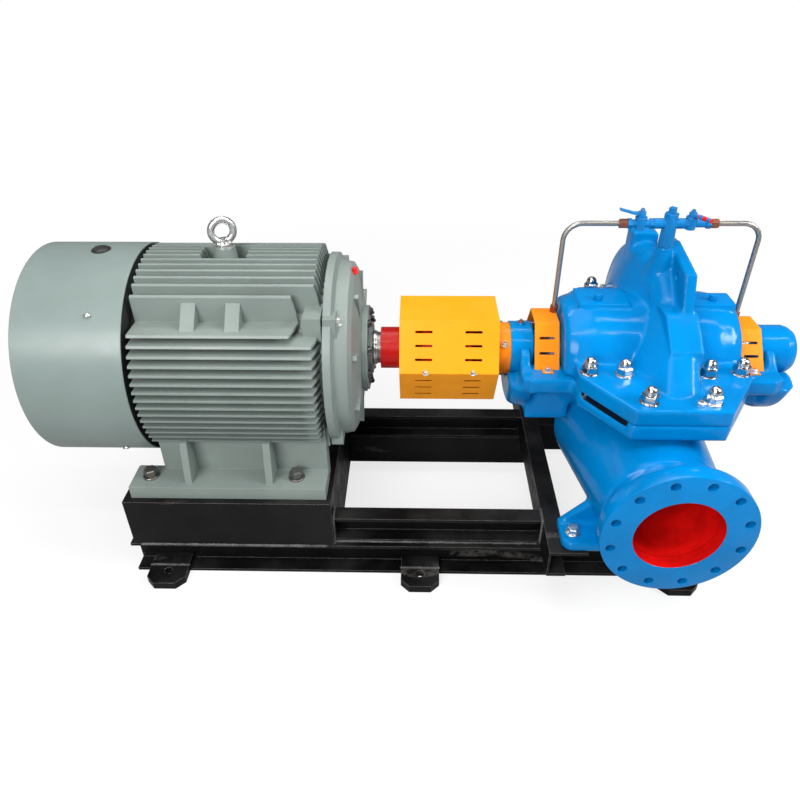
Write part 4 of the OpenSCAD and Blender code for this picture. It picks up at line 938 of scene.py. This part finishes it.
class PUMP_OT_base(bpy.types.Operator):
    """Paints the welded base and lays its weld beads"""

    bl_idname = "pump.base"
    bl_label = "Welded base"

    def execute(self, context):
        dress(FRAME_NODES, "frame_black")
        sizes = context.scene.pump_fasteners
        ped_lo, ped_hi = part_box("motor_pedestal")
        rail_lo, rail_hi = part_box("front_rail")
        up_lo, up_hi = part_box("front_upper_channel")
        beam_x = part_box("pump_cross_beam")[0].x
        runs = []
        for side in (-1, 1):
            edge = ped_hi.y * side
            runs.append(((ped_lo.x + 0.02, edge, ped_lo.z), (ped_hi.x - 0.02, edge, ped_lo.z)))
            for x in (-LUG_SPACING, 0.0, LUG_SPACING):
                runs.append(((x - LUG_HALF, edge, LUG_TOP), (x + LUG_HALF, edge, LUG_TOP)))
        runs += [
            ((up_lo.x + 0.004, -0.2725, rail_hi.z), (up_hi.x - 0.01, -0.2725, rail_hi.z)),
            ((ped_hi.x, ped_lo.y + 0.01, ped_lo.z), (ped_hi.x, ped_lo.y + 0.05, ped_lo.z)),
            ((up_lo.x, up_lo.y, up_lo.z + 0.004), (up_lo.x, up_lo.y, up_hi.z - 0.002)),
            ((up_lo.x, up_lo.y, up_hi.z), (up_lo.x, up_hi.y, up_hi.z)),
            ((beam_x, up_lo.y, up_hi.z), (beam_x, up_hi.y, up_hi.z)),
            ((beam_x, up_lo.y, up_lo.z + 0.004), (beam_x, up_lo.y, up_hi.z - 0.002)),
            ((beam_x + 0.006, rail_lo.y, rail_hi.z), (beam_x + 0.046, rail_lo.y, rail_hi.z)),
        ]
        mesh = bpy.data.meshes.new("weld_beads")
        verts = [point for run in runs for point in run]
        mesh.from_pydata(verts, [(k, k + 1) for k in range(0, len(verts), 2)], [])
        piece = grown(
            "weld_beads", mesh, bead_tree("weld_beads"),
            {"Bead Radius": sizes.bead_radius, "Ripple Pitch": sizes.bead_radius * 0.85, "Finish": finish("weld")},
        )
        settle(piece, "plant")
        return {"FINISHED"}


class PUMP_OT_motor(bpy.types.Operator):
    """Paints the motor and fits its bolts, cowl screws, plugs and grease points"""

    bl_idname = "pump.motor"
    bl_label = "Motor"

    def execute(self, context):
        sizes = context.scene.pump_fasteners
        dress(["motor_frame", "drive_end_shield", "drive_bearing_cap", "terminal_box"], "motor_grey")
        # The rear end shield gets the darkened grey as painted shade for the groove it sits in.
        dress(["rear_end_shield"], "shaded_grey")
        dress(["fan_cowl"], "cowl_grey")
        dress(["cooling_fan"], "fan_black")
        dress(["eye_bolt"], "zinc")
        dress(["motor_shaft"], "turned_steel")
        foot_top = SHAFT_Z - MOTOR["height"] + MOTOR["foot_thick"]
        places = []
        for k, x in enumerate(MOTOR["foot_x"]):
            for side in (-1, 1):
                places.append(((x, MOTOR["foot_y"] * side, foot_top), UP, 0.4 + k, 1.0))
        w = sizes.foot_bolt
        fasteners("motor_foot_bolts", BOLT, places, (w, w * 0.62, w * 0.68, 0.005), "turned_steel")
        ear_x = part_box("drive_end_shield")[0].x + MOTOR["ear_deep"]
        places = []
        for sy in (-1, 1):
            for sz in (-1, 1):
                spot = (ear_x, MOTOR["ear"] * sy, SHAFT_Z + MOTOR["ear"] * sz)
                places.append((spot, AHEAD, 0.2 * sy + 0.3, 1.0))
        w = sizes.shield_bolt
        fasteners("shield_bolts", BOLT, places, (w, w * 0.6, w * 0.66, 0.004), "zinc")
        cap_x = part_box("drive_bearing_cap")[0].x + MOTOR["cap_deep"]
        places = [(off_shaft(cap_x, MOTOR["cap_circle"], a)[0], AHEAD, a, 1.0) for a in angles(8, 0.5)]
        fasteners("cap_bolts", BOLT, places, (0.017, 0.011, 0.0125, 0.0025), "dark_bolt")
        cowl_lo, cowl_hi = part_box("fan_cowl")
        radius = (cowl_hi.z - cowl_lo.z) / 2
        places = [(*off_shaft(MOTOR["cowl_screw_x"], radius, a), 0.0, 1.0) for a in angles(4, 0.5)]
        fasteners("cowl_screws", ("washer", "pan"), places, (0.013, 0.006, 0.0095, 0.0016), "zinc")
        lathe(
            "cowl_plug",
            [(0.0, 0.0062), (0.013, 0.006), (0.0175, 0.005), (0.019, 0.0034), (0.0192, 0.002), (0.0225, 0.0014),
             (0.023, -0.004), (0.0, -0.004)],
            (MOTOR["cowl_plug_x"], 0.0, SHAFT_Z + radius), UP, "black_plastic",
        )
        box_lo, box_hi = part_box("terminal_box")
        places = []
        mid = (box_lo.x + box_hi.x) / 2
        for sx in (-1, 0, 1):
            for z in (box_hi.z - 0.012, SHAFT_Z - 0.0645):
                places.append(((mid + sx * 0.1, box_hi.y, z), (0, 1, 0), 0.2 * sx, 1.0))
        fasteners("lid_screws", BOLT, places, (0.013, 0.008, 0.0095, 0.002), "zinc")
        lathe(
            "grease_cap",
            [(0.0, 0.016), (0.004, 0.0156), (0.006, 0.0138), (0.0062, 0.006), (0.008, 0.0048), (0.008, 0.0),
             (0.0, -0.002)],
            (-0.163, 0.0, SHAFT_Z + 0.2055), UP, "red_plastic", sides=24,
        )
        return {"FINISHED"}


class PUMP_OT_coupling(bpy.types.Operator):
    """Paints the coupling and its guards and fits the pins and screws"""

    bl_idname = "pump.coupling"
    bl_label = "Coupling and guards"

    def execute(self, context):
        sizes = context.scene.pump_fasteners
        dress(["motor_hub", "pump_hub"], "hub_red")
        dress(["coupling_guard"], "guard_yellow")
        dress(["guard_ring", "drive_seal_guard", "outer_seal_guard"], "guard_orange")
        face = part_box("motor_hub")[1].x - 0.0575
        places = [(off_shaft(face, 0.076, a)[0], (-1, 0, 0), a, 1.0) for a in angles(8)]
        pin = (0.019, 0.011, 0.013, 0.003, 0.006, 0.007)
        fasteners("coupling_pins", BOLT + ("stud",), places, pin, "dark_bolt", body="rotor")
        lathe(
            "shaft_collar",
            [(0.0402, 0.0), (0.0435, 0.0), (0.0445, 0.001), (0.0445, 0.0055), (0.0425, 0.0065), (0.0425, 0.009),
             (0.0402, 0.0095), (0.0402, 0.0)],
            (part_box("drive_bearing_cap")[1].x + 0.0015, 0.0, SHAFT_Z), AHEAD,
            "bright_steel", body="rotor", sides=56,
        )
        guard_lo, guard_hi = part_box("coupling_guard")
        places = []
        for side, edge in ((-1, guard_lo.y), (1, guard_hi.y)):
            for x in (0.008, 0.124):
                places.append(((x, edge + 0.0004 * -side, SHAFT_Z), (0, side, 0), 0.3, 1.0))
        for angle in (145.0, 35.0, 250.0):
            places.append((*off_shaft(0.2035, 0.066, math.radians(angle)), 0.1, 1.15))
        for node in ("drive_seal_guard", "outer_seal_guard"):
            lo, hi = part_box(node)
            for side in (-1, 1):
                places.append((((lo.x + hi.x) / 2, side * 0.114, SHAFT_Z + 0.003), UP, 0.2, 1.1))
        w = sizes.guard_screw
        fasteners("guard_screws", BOLT, places, (w, w * 0.62, w * 0.78, 0.0018), "zinc")
        return {"FINISHED"}


class PUMP_OT_casing(bpy.types.Operator):
    """Rounds and paints the pump castings and fits the casing nuts and foot bolts"""

    bl_idname = "pump.casing"
    bl_label = "Pump casing"

    def execute(self, context):
        sizes = context.scene.pump_fasteners
        dress(["drive_bearing", "outer_bearing", "casing_plugs"], "pump_blue")
        dress(["pump_shaft"], "bright_steel")
        dress(["seal_glands"], "gland")
        rounds = sizes.cast_rounds
        end = Vector((0.25, 0, 0))
        hole = CASING_ORIGIN + Vector((0.0, -0.0394, 0.2168))
        cuts = [(0.0469, CASING_ORIGIN - end, CASING_ORIGIN + end), (0.007, hole, hole + Vector((0.09, 0, 0)))]
        poured("upper_casting", upper_shells(), UPPER_VOXEL, rounds, "upper_casing", cuts)
        shell = node_shell("lower_casing")
        cuts = [sunk_flange(shell, face_y, port) for _, face_y, port in PORTS]
        poured("lower_casting", shell, LOWER_VOXEL, rounds, "lower_casing", cuts)
        for name, face_y, port in PORTS:
            port_flange(name, face_y, port, "lower_casing")
        top, under = SHAFT_Z + JOINT_THICK, SHAFT_Z - JOINT_THICK
        spots = [
            (-0.173, -0.177), (0.173, -0.177), (-0.096, -0.185), (0.096, -0.185), (-0.068, -0.296), (0.068, -0.296),
            (-0.082, 0.26), (0.082, 0.26),
        ]
        w = sizes.casing_nut
        places = [((PUMP_X + dx, y, top), UP, 0.7 * k, 1.0) for k, (dx, y) in enumerate(spots)]
        fasteners("casing_nuts", BOLT + ("dome",), places, (w, w * 0.6, w * 0.63, 0.0025), "chrome")
        places = [((PUMP_X + dx, y, under), (0, 0, -1), 0.5 * k, 1.0) for k, (dx, y) in enumerate(spots)]
        fasteners("casing_studs", ("hexagon", "stud"), places, (w, w * 0.7, 0.0, 0.0, 0.009, 0.012), "zinc")
        places = [((PUMP_X + dx, y, top), UP, 0.3, 1.0) for dx, y in ((0.038, -0.31), (-0.046, 0.268))]
        fasteners("jack_screws", ("hexagon",), places, (0.016, 0.011, 0.0, 0.0), "zinc")
        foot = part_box("pump_cross_beam")[1].z + 0.026
        places = [((PUMP_X + dx, 0.335 * side, foot), UP, dx, 1.0) for dx in (-0.192, 0.176) for side in (-1, 1)]
        fasteners("pump_foot_bolts", BOLT, places, (0.026, 0.014, 0.018, 0.003), "zinc")
        bearing_lo, bearing_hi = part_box("drive_bearing")
        lathe(
            "bearing_nipple",
            [(0.0, 0.0085), (0.0025, 0.0083), (0.0034, 0.007), (0.0026, 0.0058), (0.003, 0.005), (0.0062, 0.0042),
             (0.0064, 0.0), (0.0, -0.002)],
            ((bearing_lo.x + bearing_hi.x) / 2, 0.0, bearing_hi.z), UP, "copper_nut", sides=20,
        )
        return {"FINISHED"}


def lever_top(node, x, y):
    """Height of a lever's boss at its pin."""
    corners = frame["nodes"][node].data.vertices
    return max(v.co.z for v in corners if math.hypot(v.co.x - x, v.co.y - y) < 0.0095)


class PUMP_OT_flush_line(bpy.types.Operator):
    """Finishes the seal flush line"""

    bl_idname = "pump.flush_line"
    bl_label = "Flush line"

    def execute(self, context):
        dress(["left_tube", "right_tube"], "stainless")
        dress(["tube_nuts"], "copper_nut")
        dress(["tee_fitting", "left_cock", "right_cock", "left_lever"], "fitting_blue")
        dress(["right_lever"], "lever_blue")
        for node, body in (("left_lever", "left_cock_lever"), ("right_lever", "right_cock_lever")):
            x, y, _ = joint_place(body)
            places = [((x, y, lever_top(node, x, y)), UP, 0.3, 1.0)]
            nut = (0.01, 0.005, 0.0068, 0.001, 0.0028, 0.0022)
            fasteners(node + "_nut", BOLT + ("stud",), places, nut, "fitting_blue", body=body)
        return {"FINISHED"}


class PUMP_OT_stage(bpy.types.Operator):
    """Sets the floor, the light and the camera"""

    bl_idname = "pump.stage"
    bl_label = "Stage"

    def execute(self, context):
        scene = context.scene
        stage = scene.pump_stage
        scene.view_settings.view_transform = "Standard"
        camera = linked("camera", bpy.data.cameras.new("camera"))
        camera.data.lens = stage.lens
        camera.data.sensor_width = 36.0
        camera.data.clip_end = 100.0
        pitch, yaw, roll = stage.camera_pitch, stage.camera_yaw, stage.camera_roll
        ahead = Vector((-math.sin(yaw) * math.cos(pitch), math.cos(yaw) * math.cos(pitch), -math.sin(pitch)))
        right = Vector((math.cos(yaw), math.sin(yaw), 0.0))
        up = right.cross(ahead)
        level = right * math.cos(roll) + up * math.sin(roll)
        raised = up * math.cos(roll) - right * math.sin(roll)
        turn = Matrix((level, raised, -ahead)).transposed().to_4x4()
        camera.matrix_world = Matrix.Translation(stage.camera_place) @ turn
        scene.camera = camera
        mesh = bpy.data.meshes.new("floor")
        mesh.from_pydata([(-20, -20, 0), (20, -20, 0), (20, 20, 0), (-20, 20, 0)], [], [(0, 1, 2, 3)])
        floor = linked("floor", mesh)
        f = Finish("floor_white")
        seen, mirrored, passed = f.rays()
        pale = f.blend(f.band(f.noise(0.8, 3.0, 0.5), 0.3, 0.7), (0.9, 0.9, 0.9, 1), (0.94, 0.94, 0.94, 1))
        f.wear(Base_Color=f.blend(seen, (0.4, 0.4, 0.4, 1), pale), Roughness=0.9, Specular_IOR_Level=0.1)
        glow = f.add("ShaderNodeEmission", None, {"Color": WHITE, "Strength": 1.0})
        away = f.band((f.x ** 2.0 + f.y ** 2.0) ** 0.5, 1.1, 2.6)
        share = seen.most(passed).most(mirrored * 0.12) * (away * 0.26 + 0.74)
        mixed = f.add("ShaderNodeMixShader", None, {0: share, 1: Tone(f, f.shader.outputs[0]), 2: glow})
        f.feed(f.tree.nodes["Material Output"].inputs["Surface"], mixed)
        mesh.materials.append(f.material)
        world = bpy.data.worlds.new("room")
        scene.world = world
        world.use_nodes = True
        g = Graph(world.node_tree)
        seen, mirrored, passed = g.rays()
        height = g.part(g.add("ShaderNodeTexCoord"), 2)
        fade = {"Value": height, "From Min": 0.1, "From Max": 0.6, "To Min": 0.2, "To Max": 0.08}
        wall = g.add("ShaderNodeMapRange", None, fade)
        shown = seen.most(passed)
        plain = world.node_tree.nodes["Background"]
        g.feed(plain.inputs["Color"], WHITE)
        g.feed(plain.inputs["Strength"], shown + (1.0 - shown) * (mirrored * wall + (1.0 - mirrored) * stage.sky))
        for name, place, aim, size, power in (
            ("overhead", (-0.3, 0.1, 3.1), (0.0, 0.0, 0.4), (3.2, 1.4), stage.overhead),
            ("front_tube", (0.0, -1.3, 2.9), (0.0, 0.0, 0.5), (3.2, 0.06), stage.tubes),
            ("back_tube", (0.1, 0.9, 2.9), (0.1, 0.0, 0.5), (3.2, 0.06), stage.tubes * 0.8),
            ("end_tube", (1.9, -0.3, 2.6), (0.5, 0.0, 0.5), (0.06, 2.4), stage.tubes * 0.7),
            ("front", (-1.6, -3.4, 2.6), (0.0, 0.0, 0.5), (2.2, 1.6), stage.front),
            ("side", (3.0, -1.0, 2.2), (0.5, 0.0, 0.5), (1.2, 0.8), stage.front * 0.5),
        ):
            lamp = bpy.data.lights.new(name, "AREA")
            lamp.shape = "RECTANGLE"
            lamp.size, lamp.size_y = size
            lamp.energy = power
            holder = linked(name, lamp)
            holder.location = place
            holder.rotation_euler = (Vector(aim) - Vector(place)).to_track_quat("-Z", "Y").to_euler()
        return {"FINISHED"}


OPERATORS = (PUMP_OT_stage, PUMP_OT_base, PUMP_OT_motor, PUMP_OT_coupling, PUMP_OT_casing, PUMP_OT_flush_line)


class PUMP_PT_panel(bpy.types.Panel):
    """Lists the pieces and their settings"""

    bl_label = "Pump set"
    bl_idname = "PUMP_PT_panel"
    bl_space_type = "VIEW_3D"
    bl_region_type = "UI"
    bl_category = "Pump set"

    def draw(self, context):
        for operator in OPERATORS:
            self.layout.operator(operator.bl_idname)
        for group in (context.scene.pump_finishes, context.scene.pump_fasteners, context.scene.pump_stage):
            column = self.layout.column()
            for name in group.bl_rna.properties.keys():
                if name not in ("rna_type", "name"):
                    column.prop(group, name)


CLASSES = (PumpFinishes, PumpFasteners, PumpStage) + OPERATORS + (PUMP_PT_panel,)


def register():
    for made in CLASSES:
        bpy.utils.register_class(made)
    bpy.types.Scene.pump_finishes = PointerProperty(type=PumpFinishes)
    bpy.types.Scene.pump_fasteners = PointerProperty(type=PumpFasteners)
    bpy.types.Scene.pump_stage = PointerProperty(type=PumpStage)


def unregister():
    del bpy.types.Scene.pump_stage
    del bpy.types.Scene.pump_fasteners
    del bpy.types.Scene.pump_finishes
    for made in reversed(CLASSES):
        bpy.utils.unregister_class(made)


def main():
    register()
    bpy.ops.pump.stage()
    bpy.ops.pump.base()
    bpy.ops.pump.motor()
    bpy.ops.pump.coupling()
    bpy.ops.pump.casing()
    bpy.ops.pump.flush_line()


if __name__ == "__main__":
    main()
